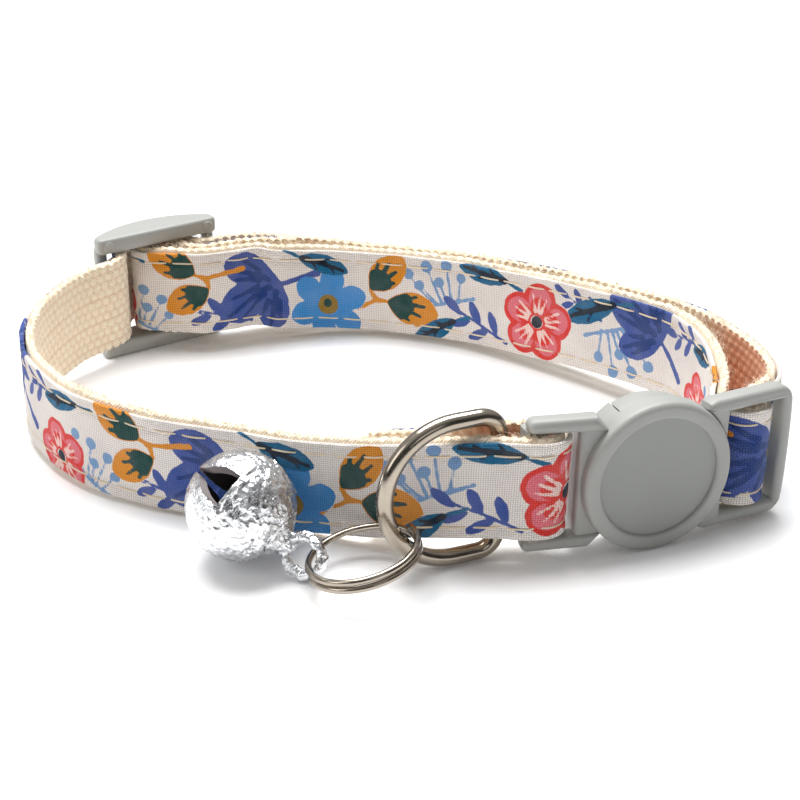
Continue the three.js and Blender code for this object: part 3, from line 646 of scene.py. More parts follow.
class Print:
    """Signed distances to the edge of each colour, positive inside, in millimetres."""

    def __init__(self, run, height):
        self.run, self.height = run, height
        self.layers = {name: np.full(run.shape, -1.0) for name in LAYERS}
        for kind, at, up, turn, size in MOTIFS:
            self.origin = (at, up, radians(turn), size)
            getattr(self, kind)()

    def local(self):
        at, up, turn, size = self.origin
        dx = (self.run - at + REPEAT / 2) % REPEAT - REPEAT / 2
        dy = self.height - up
        x = dx * math.cos(turn) + dy * math.sin(turn)
        y = dy * math.cos(turn) - dx * math.sin(turn)
        return x / size, y / size, size

    def disc(self, x0, y0, radius):
        x, y, size = self.local()
        return (radius - np.hypot(x - x0, y - y0)) * size

    def blade(self, x0, y0, turn, length, width, belly):
        """A leaf or petal that starts at (x0, y0)."""
        x, y, size = self.local()
        turn = radians(turn)
        dx, dy = x - x0, y - y0
        a = (dx * math.cos(turn) + dy * math.sin(turn)) / length * 2 - 1
        b = dy * math.cos(turn) - dx * math.sin(turn)
        shape = np.maximum(1 - a * a, 0) ** 0.75 * (1 + belly * a)
        return np.where(np.abs(a) < 1, shape * width / 2 - np.abs(b), -1) * size

    def line(self, x0, y0, x1, y1, width):
        x, y, size = self.local()
        dx, dy = x1 - x0, y1 - y0
        t = np.clip(((x - x0) * dx + (y - y0) * dy) / (dx * dx + dy * dy), 0, 1)
        return (width / 2 * (1.1 - 0.5 * t) - np.hypot(x - x0 - t * dx, y - y0 - t * dy)) * size

    def put(self, layer, value, inside=None):
        if inside is not None:
            value = np.minimum(value, inside)
        self.layers[layer] = np.maximum(self.layers[layer], np.clip(value, -1, 1))

    def clear(self, value, *layers):
        """Keeps other colours off this one's ground."""
        for layer in layers:
            self.layers[layer] = np.minimum(self.layers[layer], np.clip(-value, -1, 1))

    def tulip(self):
        """Three broad petals over a thin stem, each with brushed veins."""
        self.put("petal", self.line(-3.6, -1.0, 0.4, 0, 0.6))
        for turn, length, width in ((0, 6.4, 3.6), (50, 5.4, 3.0), (-48, 4.8, 2.6)):
            petal = self.blade(-0.2, 0, turn, length, width, 0.3)
            self.put("petal", petal)
            for offset, start, end in ((-15, 1.6, 0.72), (-3, 0.8, 0.86), (12, 1.9, 0.7)):
                tip = radians(turn + offset)
                self.put("vein", self.line(*polar(start, tip), *polar(length * end, tip), 0.52), petal - 0.1)

    def sprig(self):
        """A stem with narrow leaves on both sides."""
        self.put("petal", self.line(-1.0, 0, 5.4, 0.4, 0.34))
        upper, lower = ((0.2, 50, 2.6), (2.2, 44, 2.7), (4.4, 20, 2.6)), ((1.2, -46, 2.5), (3.3, -40, 2.4))
        for x, turn, length in upper + lower:
            self.put("petal", self.blade(x, 0.1, turn, length, 0.95, 0.1))

    def leaf(self):
        """A pointed leaf with a dark midrib."""
        leaf = self.blade(0, 0, 0, 5.8, 2.1, 0.1)
        self.put("teal", leaf)
        self.put("midrib", self.line(0.2, 0, 5.2, 0.05, 0.62), leaf)
        for x, y in ((1.5, 0.8), (2.6, -0.75), (3.5, 0.6)):
            self.put("midrib", self.line(x, 0, x + 0.9, y, 0.34), leaf - 0.1)
        self.put("teal", self.line(-1.6, -0.4, 0.2, 0, 0.42))

    def berries(self):
        """Round berries on thin stalks that leave one stem."""
        self.put("dusty", self.line(-2.0, -1.6, 4.2, -2.2, 0.32))
        upper = ((0.3, 1.7, 0.56), (2.3, 1.8, 0.58), (4.2, 1.3, 0.54))
        lower = ((-1.0, 0.4, 0.5), (1.3, 0.2, 0.5), (3.3, 0.1, 0.5))
        for x, y, radius in upper + lower:
            self.put("dusty", self.disc(x, y, radius))
            self.put("dusty", self.line(0.3 + x * 0.5, -1.9, x, y, 0.28))

    def twig(self):
        """A forked stem with two ochre buds, each held by a ragged green cup."""
        self.put("ochre", self.line(-4.0, 1.6, -0.6, 0.2, 0.5))
        for x, y, turn, length, width in ((0.0, 0.4, 16, 4.8, 3.1), (-1.4, -0.6, -44, 4.4, 2.8)):
            self.put("ochre", self.line(-0.9, 0.3, x, y, 0.5))
            bud = self.blade(x, y, turn, length, width, 0.05)
            self.clear(bud, *GROUND, "calyx")
            self.put("ochre", bud)
            cup = self.blade(x, y, turn, length * 0.5, width * 0.78, 0.35)
            self.put("calyx", cup, bud - 0.12)
            x0, y0 = polar(0.4, radians(turn))
            for offset, reach in ((-26, 0.56), (-9, 0.7), (9, 0.66), (27, 0.52)):
                x1, y1 = polar(length * reach, radians(turn) + radians(offset))
                self.put("calyx", self.line(x + x0, y + y0, x + x1, y + y1, 0.5), bud)

    def rosette(self):
        """A coral flower: round petals with pink faces and pale brush lines."""
        whole = self.disc(0, 0, 1.1)
        petals = [polar(2.0, radians(72 * i + 15)) for i in range(5)]
        for x, y in petals:
            whole = np.maximum(whole, self.disc(x, y, 1.75))
        self.clear(whole, *GROUND, "ochre", "calyx")
        self.put("coral", whole)
        for x, y in petals:
            self.put("pink", self.disc(x * 1.08, y * 1.08, 1.2), -self.disc(x * 0.75, y * 0.75, 0.85))
            for bend in (-0.3, 0.0, 0.3):
                turn = math.atan2(y, x) + bend
                self.put("pale", self.line(*polar(1.0, turn), *polar(2.6, turn), 0.3), whole - 0.2)
        self.put("coral", self.disc(0, 0, 0.8))
        self.clear(self.disc(0, 0, 0.62), "pale", "pink", "coral")
        self.put("midrib", self.disc(0, 0, 0.6))

    def bloom(self):
        """A bright flower with six petals round an olive eye."""
        whole = self.disc(0, 0, 1.0)
        for turn in range(0, 360, 60):
            whole = np.maximum(whole, self.blade(*polar(0.3, radians(turn)), turn, 3.4, 2.2, 0.35))
        self.clear(whole, *GROUND, "ochre")
        self.put("bright", whole)
        for turn in range(0, 360, 60):
            angle = radians(turn)
            self.put("vein", self.line(*polar(1.3, angle), *polar(2.7, angle), 0.36))
        self.put("stem", self.disc(0, 0, 0.95))
        self.put("calyx", self.disc(0.1, 0.1, 0.42))


def cotton_material():
    sheen = {"Sheen_Weight": 0.1, "Sheen_Roughness": 0.5}
    shader = Shader("printed_cotton_look", Roughness=0.88, Specular_IOR_Level=0.2, **sheen)
    slub = shader.noise(900, 2, 0.6)
    stray = shader.ramp(shader.noise(330, 2, 0.5), 0.3, 0.7, -0.05, 0.05)
    places = [shader.plus(shader.attribute(name), stray) for name in ("run", "across")]
    waves = [shader.math("SINE", shader.times(place, pi / WEAVE_PITCH)) for place in places]
    warp, weft = (shader.math("ABSOLUTE", wave) for wave in waves)
    cloud = shader.ramp(shader.noise(160, 3, 0.6), 0.35, 0.7)
    colour = shader.mix(cloud, rgb(244, 237, 230), rgb(233, 225, 219))
    bleed = shader.ramp(slub, 0.3, 0.7, -0.07, 0.07)
    for name, tint in LAYERS.items():
        edge = shader.plus(shader.attribute("print_" + name), bleed)
        colour = shader.mix(shader.ramp(edge, -0.04, 0.05), colour, tint)
    wash = shader.ramp(shader.noise(420, 2, 0.5), 0.3, 0.75, 0.0, 0.08)
    colour = shader.mix(wash, colour, rgb(232, 226, 222))
    # Painted shade: the holes between the threads and the grooves along them are darkened
    hole = shader.times(shader.math("SUBTRACT", 1.0, warp), shader.math("SUBTRACT", 1.0, weft))
    groove = shader.ramp(shader.math("MINIMUM", warp, weft), 0.0, 0.55, 0.22, 0.0)
    weave_shade = shader.math("MAXIMUM", shader.ramp(hole, 0.08, 0.6, 0.0, 0.75), groove)
    shader.to("Base Color", shader.mix(weave_shade, colour, rgb(128, 112, 110), "MULTIPLY"))
    yarns = shader.times(shader.plus(warp, weft), 0.45)
    height = shader.plus(shader.times(shader.times(*waves), 0.3), yarns)
    weave = shader.bump(height, 0.0001, 0.9)
    shader.to("Normal", shader.bump(slub, 0.00006, 0.5, Normal=weave))
    return shader.material


def webbing_material():
    sheen = {"Sheen_Weight": 0.2, "Sheen_Roughness": 0.6}
    shader = Shader("webbing_look", Roughness=0.92, Specular_IOR_Level=0.15, **sheen)
    run, across, hollow, warm = (shader.attribute(name) for name in ("run", "across", "hollow", "warm"))
    fibre = shader.noise(2600, 3, 0.7)
    colour = shader.mix(shader.ramp(fibre, 0.3, 0.75), rgb(255, 243, 222), rgb(247, 225, 193))
    # Painted shade: darker colour in the yarn hollows and in the dips between the edge pebbles
    colour = shader.mix(shader.ramp(hollow, 0.3, 1.0, 0.0, 0.75), colour, rgb(226, 192, 154))
    # Painted shade and warm bounce light: the face is multiplied towards orange-brown where the next layer
    # is near
    shader.to("Base Color", shader.mix(warm, colour, rgb(242, 158, 104), "MULTIPLY"))
    strand = shader.math("SINE", shader.times(shader.plus(run, across), 17.0))
    height = shader.plus(shader.times(strand, 0.25), fibre)
    shader.to("Normal", shader.bump(height, 0.00012, 0.7))
    return shader.material


def fibre_material():
    shader = Shader("fibre_look", Roughness=0.8, Specular_IOR_Level=0.2, Sheen_Weight=0.2)
    shader.to("Base Color", shader.mix(shader.noise(500, 2, 0.5), rgb(252, 240, 220), rgb(238, 214, 180)))
    return shader.material


def thread_material():
    shader = Shader("thread_look", Roughness=0.6, Specular_IOR_Level=0.35, Sheen_Weight=0.2)
    twist = shader.node("TexWave", {"Vector": shader.spot, "Scale": 1700.0, "Distortion": 1.5}, output="Fac")
    shader.to("Base Color", shader.mix(twist, rgb(240, 226, 202), rgb(212, 188, 156)))
    shader.to("Normal", shader.bump(twist, 0.00003, 0.5))
    return shader.material


def plastic_material(name, colour, rough):
    shader = Shader(name, Specular_IOR_Level=0.45)
    cloud = shader.ramp(shader.noise(90, 3, 0.5), 0.3, 0.7, 0.0, 0.3)
    shader.to("Base Color", shader.mix(cloud, rgb(*colour), rgb(*(c * 0.95 for c in colour))))
    shader.gloss(600, 4, rough - 0.04, rough + 0.06)
    shader.to("Normal", shader.bump(shader.noise(1500, 3, 0.6), 0.00002, 0.5))
    return shader.material


def nickel_material():
    shader = Shader("nickel_look", Metallic=1.0)
    shader.to("Base Color", shader.mix(shader.noise(260, 3, 0.6), rgb(182, 172, 158), rgb(150, 140, 127)))
    shader.gloss(700, 3, 0.14, 0.26)
    shader.to("Normal", shader.bump(shader.noise(1800, 2, 0.5), 0.00001, 0.5))
    return shader.material


def bell_material():
    shader = Shader("bell_metal_look", Metallic=1.0)
    fine = shader.noise(1500, 4, 0.65, 1.5)
    shine = shader.ramp(fine, 0.35, 0.62)
    shader.to("Base Color", shader.mix(shine, rgb(214, 216, 220), rgb(248, 249, 250)))
    shader.gloss(900, 3, 0.1, 0.3)
    flakes = shader.node("TexVoronoi", {"Vector": shader.spot, "Scale": 1300.0}, feature="F1")
    shader.to("Normal", shader.bump(fine, 0.00012, 0.6, Normal=shader.bump(flakes, 0.00016, 0.6)))
    return shader.material


# Painted shade: a dark metal for the inside of the bell, standing in for the shade inside it
def bell_inside_shade_material():
    shader = Shader("bell_inside_shade_look", Metallic=0.6, Roughness=0.6)
    shader.to("Base Color", shader.mix(shader.noise(500, 3, 0.6), rgb(96, 90, 90), rgb(140, 132, 132)))
    return shader.material


def floor_material():
    shader = Shader("floor_look", Roughness=0.6, Specular_IOR_Level=0.3, Emission_Strength=0.04)
    shader.bsdf.inputs["Base Color"].default_value = (0.93, 0.93, 0.93, 1)
    shader.bsdf.inputs["Emission Color"].default_value = (1, 1, 1, 1)
    return shader.material


WEBBING = webbing_material()
COTTON = cotton_material()
THREAD = thread_material()
FIBRE = fibre_material()
PLASTIC = plastic_material("grey_plastic_look", (162, 163, 159), 0.42)
SEAT_PLASTIC = plastic_material("badge_seat_look", (150, 152, 149), 0.5)
NICKEL = nickel_material()
BELL_METAL = bell_material()
BELL_INSIDE_SHADE = bell_inside_shade_material()


def settle(obj, nodes):
    """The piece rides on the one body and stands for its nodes."""
    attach(obj, "root")
    if nodes:
        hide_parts(*nodes)
    return obj


# Strap making
def section(near, far, low, high, round_edge, near_count, far_count, edge_count):
    """Points round a flat strip's section: side, height, outward side and up, share along an edge."""
    def shares(count):
        return [(i + 0.5) / count for i in range(count)]

    rows = [(near + (far - near) * t, low, 0, -1, t) for t in shares(edge_count)]
    rows += [(far, low + (high - low) * t, 1, 0, 0) for t in shares(far_count)]
    rows += [(far + (near - far) * t, high, 0, 1, t) for t in shares(edge_count)]
    rows += [(near, high + (low - high) * t, -1, 0, 0) for t in shares(near_count)]
    rows = np.array(rows)
    middle, half = (near + far) / 2, abs(far - near) / 2
    crown = np.sqrt(np.maximum(1 - ((rows[:, 0] - middle) / half) ** 2, 0))
    rows[:, 1] -= rows[:, 3] * round_edge * (1 - crown)
    return rows


def along_strap(strap, rows, step):
    """Stations, and the run, side and height of each point of a section at each station."""
    stations = strap.stations(step)
    run = stations[:, None] + 0 * rows[:, 0]
    return stations, run, rows[:, 0] + 0 * run, rows[:, 1] + 0 * run


def set_floats(obj, **values):
    for name, value in values.items():
        layer = obj.data.attributes.new(name, "FLOAT", "POINT")
        layer.data.foreach_set("value", np.asarray(value, np.float32).ravel())


def smooth_noise(run, scale, seed):
    """A slow wander along the strap, from about -1 to 1, as one column."""
    return np.array([[noise.noise(Vector((x / scale, seed, 0.5)))] for x in run]) * 1.6


def ripples(run, height):
    """Soft uneven ripples over the cloth, from about -1 to 1."""
    parts = ((7.3, 23.0, 0.3, 0.4), (4.1, -9.0, 1.9, 0.3), (2.6, 14.0, 4.4, 0.2), (1.7, 5.2, 0.8, 0.16))
    return sum(amount * np.sin(2 * pi * (run / a + height / b) + phase) for a, b, phase, amount in parts)


def make_webbing(strap):
    rows = section(WEBBING_FACE, -SEAM_GAP / 2, 0, STRAP_WIDTH, 0.3, 40, 4, 7)
    _, _, out_side, out_up, part = rows.T
    stations, run, side, height = along_strap(strap, rows, WEBBING_STEP)
    pitch = STRAP_WIDTH / YARN_ROWS
    across = np.abs(np.sin(pi * height / pitch))
    along = np.abs(np.sin(pi * (run / YARN_PITCH + 0.5 * (np.floor(height / pitch) % 2))))
    yarn = (0.2 + 0.8 * along) * across**0.6
    beat = run / YARN_PITCH + 0.5 * (part > 0.5) + 0.12 * smooth_noise(stations, 2.5, 9)
    pebble = np.abs(np.sin(pi * beat)) ** 0.8 * (0.6 + 0.4 * np.abs(np.sin(2 * pi * part)) ** 0.6)
    edge = PEBBLE_RELIEF * (pebble - 0.5) + EDGE_WANDER * smooth_noise(stations, 1.7, 3)
    face = YARN_RELIEF * (yarn - 0.85)
    outward = np.where(out_up != 0, edge, np.where(out_side < 0, face, -0.02))
    height = height + outward * out_up
    obj = skin("strap_webbing_look", strap.place(run, side + outward * out_side, height), WEBBING)
    # Painted shade: how much the yarn hollows and the dips between edge pebbles are darkened
    hollow = np.clip(np.where(out_up != 0, 0.3 * (1 - pebble), 1 - yarn), 0, 1)
    # Painted warm shade and bounce light on the webbing's face, strongest where the next layer is a few
    # millimetres off
    room = np.interp(stations, strap.run, strap.room_ahead())
    warm = GAP_SHADE_STRENGTH * np.interp(room, GAP_SHADE_ROOM, (0, 1, 1, 0))[:, None] * (out_side < 0)
    set_floats(obj, run=run, across=height, hollow=hollow, warm=warm)
    return obj


def cover_lift(run, height):
    """How far the print face stands off its plain place: ripples, and dips along the stitch rows."""
    from_edge = COVER_WIDTH / 2 - np.abs(height - STRAP_WIDTH / 2)
    beat = (run + np.where(height > STRAP_WIDTH / 2, 0, STITCH_PITCH / 2)) % STITCH_PITCH
    pull = np.exp(-(((from_edge - STITCH_IN) / DIP_HALF) ** 2))
    pucker = np.exp(-(((beat - STITCH_PITCH / 2) / PUCKER_HALF) ** 2))
    return RIPPLE * ripples(run, height) - pull * (DIP + PUCKER * (1 - pucker)) - FACE_SINK


def make_cover(strap):
    rows = section(SEAM_GAP / 2, PRINT_FACE, COVER_LOW, COVER_HIGH, 0.2, 5, 40, 4)
    _, _, out_side, out_up, _ = rows.T
    stations, run, side, height = along_strap(strap, rows, COVER_STEP)
    side = side + np.where(out_side > 0, cover_lift(run, height), 0)
    off_middle = height - STRAP_WIDTH / 2
    waver = np.where(off_middle > 0, smooth_noise(stations, 6, 21), smooth_noise(stations, 6, 33))
    height = height + 0.08 * waver * np.abs(off_middle) / (COVER_WIDTH / 2)
    obj = skin("strap_cover_look", strap.place(run, side, height), COTTON)
    cloth = height + out_up * (PRINT_FACE - side)
    motifs = Print(run, cloth - COVER_LOW)
    layers = {"print_" + name: value for name, value in motifs.layers.items()}
    set_floats(obj, run=run, across=cloth, **layers)
    return obj


class Tubes:
    """Many short rounded threads gathered into one mesh."""

    def __init__(self, sides):
        self.angles = np.linspace(0, 2 * pi, sides, endpoint=False)
        self.verts, self.faces = [], []

    def add(self, rings):
        base = len(self.verts)
        self.verts += rings.reshape(-1, 3).tolist()
        self.faces += [[base + i for i in face] for face in ring_faces(*rings.shape[:2])]

    def build(self, name, material):
        return add_mesh(name, self.verts, self.faces, material)


def make_stitches(strap):
    tubes = Tubes(6)
    t = np.linspace(0, 1, 10)
    sink = np.abs(2 * t - 1) ** 7
    thick = THREAD_RADIUS * (1 - 0.3 * sink)[:, None]
    for row, height in enumerate((COVER_LOW + STITCH_IN, COVER_HIGH - STITCH_IN)):
        first = STITCH_PITCH / 2 if row == 0 else 0.0
        for number in range(int((strap.length - first) / STITCH_PITCH)):
            shift = 0.08 * noise.noise(Vector((number * 0.9, row * 5.0, 2.0)))
            slant = 0.06 * noise.noise(Vector((number * 1.7, row * 3.0, 8.0)))
            run = first + number * STITCH_PITCH + STITCH_GAP / 2 + t * (STITCH_PITCH - STITCH_GAP)
            up = height + shift + slant * (2 * t - 1)
            side = PRINT_FACE + cover_lift(run, up) + FACE_SINK - STITCH_SINK * sink
            ring_side = side[:, None] + thick * np.cos(tubes.angles)
            ring_up = up[:, None] + thick * np.sin(tubes.angles)
            tubes.add(strap.place(run[:, None] + 0 * ring_side, ring_side, ring_up))
    return tubes.build("stitches", THREAD)


def make_fibres(strap):
    """Loose fibres of the webbing, along its two edges and at its cut ends."""
    chance = np.random.default_rng(11)
    tubes = Tubes(3)
    t = np.linspace(0, 1, 5)
    turn = np.stack([np.cos(tubes.angles), np.sin(tubes.angles), 0.5 * np.sin(tubes.angles + 1)], 1)

    def hair(centre, thick):
        tubes.add(centre[:, None] + (thick * (1 - 0.6 * t))[:, None, None] * turn)

    for number in range(EDGE_FIBRES):
        upper = number % 4 > 0
        out = 1 if upper else -1
        start = chance.uniform(0.2, strap.length - 0.2)
        side = chance.uniform(WEBBING_FACE, -SEAM_GAP / 2)
        reach = chance.uniform(0.22, 0.5) * (1.5 if chance.random() < 0.12 else 1)
        sway, curl, bend = chance.normal(0, 0.45), chance.normal(0, 0.5), chance.normal(0, 0.3)
        run = np.clip(start + sway * t + curl * t * t, 0, strap.length)
        up = (STRAP_WIDTH if upper else 0) + out * (reach * np.sin(t * 1.9) - 0.12)
        centre = strap.place(run, side + bend * t * t - 0.1 * t, up)
        centre[:, 2] = np.maximum(centre[:, 2], FIBRE_FLOOR)
        hair(centre, chance.uniform(0.018, 0.032))
    points = strap.points
    for run, outward in ((0.0, points[0] - points[1]), (strap.length, points[-1] - points[-2])):
        outward = outward / np.linalg.norm(outward)
        for _ in range(END_FIBRES):
            side = chance.uniform(WEBBING_FACE, -SEAM_GAP / 2)
            up = chance.uniform(0.1, STRAP_WIDTH - 0.1)
            root = strap.place(np.array([run]), np.array([side]), np.array([up]))
            drift = [chance.normal(0, 0.25) * t, chance.normal(0, 0.25) * t, chance.normal(0, 0.45) * t * t]
            along = outward * (chance.uniform(0.4, 1.3) * t - 0.15)[:, None]
            hair(root + along + np.stack(drift, 1), chance.uniform(0.03, 0.05))
    return tubes.build("fibres", FIBRE)


# Buckle making
def buckle_matrix():
    tilt = Matrix.Rotation(BUCKLE_TILT, 3, "Z")
    matrix = (Matrix.Rotation(QUARTER, 3, "X") @ Matrix.Rotation(BUCKLE_TURN, 3, "Y") @ tilt).to_4x4()
    matrix.translation = (BUCKLE_X, BUCKLE_Y, DISC_RADIUS)
    return matrix


def leaning(hinge, front):
    """The place of a buckle frame that leans back from the disc, turned about its hinge line."""
    lean = Matrix.Rotation(math.copysign(FRAME_LEAN, hinge), 4, "Y")
    return Matrix.Translation((hinge, 0, front)) @ lean @ Matrix.Translation((-hinge, 0, 0))


def bar(name, u0, u1, n0, n1, corner, half, matrix):
    """A rounded bar along the strap's width, in the buckle's frame."""
    outline = rounded(u0, u1, n0, n1, corner)
    return flat_plate(name, outline, -half, half, BAR_EDGE, PLASTIC, matrix @ UPRIGHT)


def mirrored(points):
    """The mirror image of an outline, still anticlockwise."""
    return [(x, -y) for x, y in reversed(points)]


def make_disc(matrix):
    """The disc with its raised rim, and a second material on the recess's floor."""
    back = -DISC_THICK
    profile = [(0, back), (DISC_RADIUS - DISC_BACK_EDGE, back), (DISC_RADIUS, back + DISC_BACK_EDGE)]
    profile += arc(DISC_RADIUS - DISC_EDGE, -DISC_EDGE, DISC_EDGE, 0, QUARTER)
    profile += arc(RECESS_RADIUS + RECESS_EDGE, -RECESS_EDGE, RECESS_EDGE, QUARTER, 2 * QUARTER, 5)
    profile += [(RECESS_RADIUS, -RECESS_DEPTH), (0, -RECESS_DEPTH)]
    disc = lathe("buckle_disc", profile, PLASTIC, matrix)
    disc.data.materials.append(SEAT_PLASTIC)
    inverse = matrix.inverted()
    for face in disc.data.polygons:
        local = inverse @ (Vector(face.center) / MM - Vector(CENTRE))
        if abs(local.z + RECESS_DEPTH) < 0.02 and math.hypot(local.x, local.y) < RECESS_RADIUS - 0.01:
            face.material_index = 1
    return disc


def socket_rail():
    """The outline of the upper long side of the socket's frame."""
    half = (FRAME_HALF - SLOT_HALF) / 2
    return SOCKET_SHOULDER + arc(SOCKET_END + half, SLOT_HALF + half, half, QUARTER, 3 * QUARTER, 12)


def make_socket(matrix):
    core = [(0, CORE_BACK), (CORE_RADIUS - CORE_EDGE, CORE_BACK), (CORE_RADIUS, CORE_BACK + CORE_EDGE)]
    core += [(CORE_RADIUS, CORE_FRONT), (0, CORE_FRONT)]
    low, high = ARM_ANGLE + PARTING, 2 * pi - ARM_ANGLE - PARTING
    sector = arc(0, 0, ARM_OUTER, low, high, 40) + arc(0, 0, SHOULDER_INNER, high, low, 30)
    leant = matrix @ leaning(SOCKET_HINGE, SOCKET_FRONT)
    plates = [
        ("buckle_shoulder", sector, *SHOULDER_PLATE, matrix),
        ("buckle_socket_rail", socket_rail(), *RAIL_PLATE, leant),
        ("buckle_socket_rail", mirrored(socket_rail()), *RAIL_PLATE, leant),
        ("buckle_cheek", CHEEK, *CHEEK_PLATE, leant),
        ("buckle_wall", WALL, *WALL_PLATE, leant),
    ]
    pieces = [make_disc(matrix), lathe("buckle_core", core, PLASTIC, matrix)]
    pieces += [flat_plate(*row, PLASTIC, place) for *row, place in plates]
    return join("buckle_socket_look", *pieces, bar("buckle_socket_bar", *SOCKET_BAR, matrix))


def end_line(across):
    """How far out the plug's bowed end lies, at a distance from its middle."""
    return PLUG_END + END_BOW * (1 - (across / FRAME_HALF) ** 2)


def plug_frame():
    """The outline of the plug's frame, open towards the disc."""
    corner = arc(end_line(SLOT_HALF) - RAIL_CORNER, FRAME_HALF - RAIL_CORNER, RAIL_CORNER, 0, QUARTER)
    upper = corner + PLUG_SHOULDER + arc(0, 0, FACE_CUT, *FACE_CUT_SPAN)
    inner = [(end_line(w) - END_BAR, w) for w in np.linspace(SLOT_HALF, -SLOT_HALF, 15)]
    bow = [(end_line(w), w) for w in np.linspace(-END_STRAIGHT, END_STRAIGHT, 15)]
    return upper + inner + mirrored(upper) + bow


def make_plug(matrix):
    arms = arc(0, 0, ARM_OUTER, -ARM_ANGLE, ARM_ANGLE, 60) + arc(0, 0, ARM_INNER, ARM_ANGLE, -ARM_ANGLE, 50)
    web = WEB_SIDE + arc(0, 0, FACE_CUT, *WEB_SPAN)
    root = ROOT_SIDE + arc(0, 0, ROOT_RADIUS, ROOT_ANGLE, -ROOT_ANGLE, 30)
    leant = matrix @ leaning(PLUG_HINGE, PLUG_FRONT)
    plates = [
        ("buckle_arms", arms, *ARM_PLATE, matrix),
        ("buckle_plug_frame", plug_frame(), *PLUG_PLATE, leant),
        ("buckle_web", web, *WEB_PLATE, leant),
        ("buckle_web", mirrored(web), *WEB_PLATE, leant),
        ("buckle_root", root, *ARM_PLATE, matrix),
    ]
    pieces = [flat_plate(*row, PLASTIC, place) for *row, place in plates]
    return join("buckle_plug_look", *pieces, bar("buckle_plug_bar", *PLUG_BAR, matrix))


# Slider making
def slider_outline():
    """The slider's side plate from above its end: flat towards the neck, arched away from it."""
    rise = SLIDER_ARCH - SLIDER_END_THICK
    radius = (SLIDER_HALF**2 + rise**2) / (2 * rise)
    spread = math.asin((SLIDER_HALF - SLIDER_CROWN_IN) / radius)
    crown = arc(0, SLIDER_ARCH - radius, radius, QUARTER - spread, QUARTER + spread, 40)
    left = arc(SLIDER_TOE - SLIDER_HALF, SLIDER_TOE, SLIDER_TOE, 2 * QUARTER, 3 * QUARTER, 5)
    right = arc(SLIDER_HALF - SLIDER_TOE, SLIDER_TOE, SLIDER_TOE, -QUARTER, 0, 5)
    return left + right + SLIDER_SHOULDER + crown + [(-x, y) for x, y in SLIDER_SHOULDER[::-1]]


def make_slider():
    matrix = Matrix.Rotation(SLIDER_TURN, 4, "Z")
    matrix.translation = (SLIDER_X, SLIDER_Y, 0)
    rail = SLIDER_HEIGHT / 2 - SLIDER_SLOT_HALF
    outline = slider_outline()
    plates = [
        ("slider_low", outline, 0, rail, SLIDER_EDGE),
        ("slider_high", outline, SLIDER_HEIGHT - rail, SLIDER_HEIGHT, SLIDER_EDGE),
    ]
    low, high = rail - SLIDER_OVERLAP, SLIDER_HEIGHT - rail + SLIDER_OVERLAP
    plates += [("slider_bar", rounded(*row), low, high, BAR_EDGE) for row in SLIDER_BARS]
    pieces = [flat_plate(*row, PLASTIC, matrix) for row in plates]
    for t in (-PAD_AT, PAD_AT):
        for z in (rail / 2, SLIDER_HEIGHT - rail / 2):
            pad = Matrix.Translation((t, 0, z)) @ Matrix.Rotation(QUARTER, 4, "X")
            pieces.append(lathe("slider_pad", PAD_PROFILE, PLASTIC, matrix @ pad, 24))
    return join("slide_adjuster_look", *pieces)


# Metal making
def make_d_ring():
    reach = D_HEIGHT / 2 - D_WIRE / 2
    bow = D_DEPTH - D_WIRE - reach
    straight = reach - D_CORNER
    path = [(0, y) for y in np.linspace(-straight, straight, 24)]
    path += arc(D_CORNER, straight, D_CORNER, 2 * QUARTER, QUARTER, 14)[1:]
    path += [(x, reach) for x in np.linspace(D_CORNER, bow, 6)[1:]]
    path += arc(bow, 0, reach, QUARTER, -QUARTER, 70)[1:]
    path += [(x, -reach) for x in np.linspace(bow, D_CORNER, 6)[1:]]
    path += arc(D_CORNER, -straight, D_CORNER, -QUARTER, -2 * QUARTER, 14)[1:-1]
    forward = np.array([-math.cos(D_TURN), -math.sin(D_TURN), 0])
    origin = np.array([*D_BAR, D_HEIGHT / 2 + D_LIFT])
    path = np.array([origin + x * forward + np.array([0, 0, y]) for x, y in path])
    side = np.tile(np.cross(forward, [0, 0, 1]), (len(path), 1))
    return sweep("d_ring_look", path, side, D_WIRE / 2, NICKEL, 24, True)


def make_split_ring():
    share = np.linspace(0, 1, RING_POINTS)
    angle = RING_START + share * RING_TURNS * 2 * pi
    middle = RING_OUTER / 2 - RING_WIRE / 2
    rise = (share - 0.5) * RING_TURNS * RING_PITCH
    path = np.stack([middle * np.cos(angle), middle * np.sin(angle), rise], 1)
    matrix = Matrix.Rotation(-RING_ROLL, 4, "Y")
    matrix.translation = RING_AT
    side = np.tile([0.0, 0.0, 1.0], (RING_POINTS, 1))
    return sweep("split_ring_look", path, side, RING_WIRE / 2, NICKEL, 14, False, matrix)


def bell_matrix():
    up = -BELL_AXIS
    along = (SLIT_SIDE - up * SLIT_SIDE.dot(up)).normalized()
    matrix = Matrix((along, up.cross(along), up)).transposed().to_4x4()
    matrix.translation = BELL_AT
    return matrix


def ball(name, radius, rings, sides, material, matrix):
    turns = [pi * i / rings for i in range(rings + 1)]
    profile = [(radius * math.sin(a), -radius * math.cos(a)) for a in turns]
    return lathe(name, profile, material, matrix, sides)


def slit_outline():
    """The slit from above: a narrow middle that opens into a fan towards each end."""
    right = [(x, -y) for x, y in SLIT_HALF] + SLIT_HALF[::-1]
    left = [(-x, y) for x, y in SLIT_HALF[1:]] + [(-x, -y) for x, y in SLIT_HALF[:0:-1]]
    return right + left


def foil_height(place):
    """The height of crumpled foil: flat facets, each tilted its own way, in two sizes."""
    height = 0.0
    for scale, amount in FACETS:
        _, points = noise.voronoi(place * scale)
        tilt = noise.cell_vector(points[0] * 31.0) - Vector((0.5, 0.5, 0.5))
        height += amount * tilt.dot(place * scale - points[0])
    return height


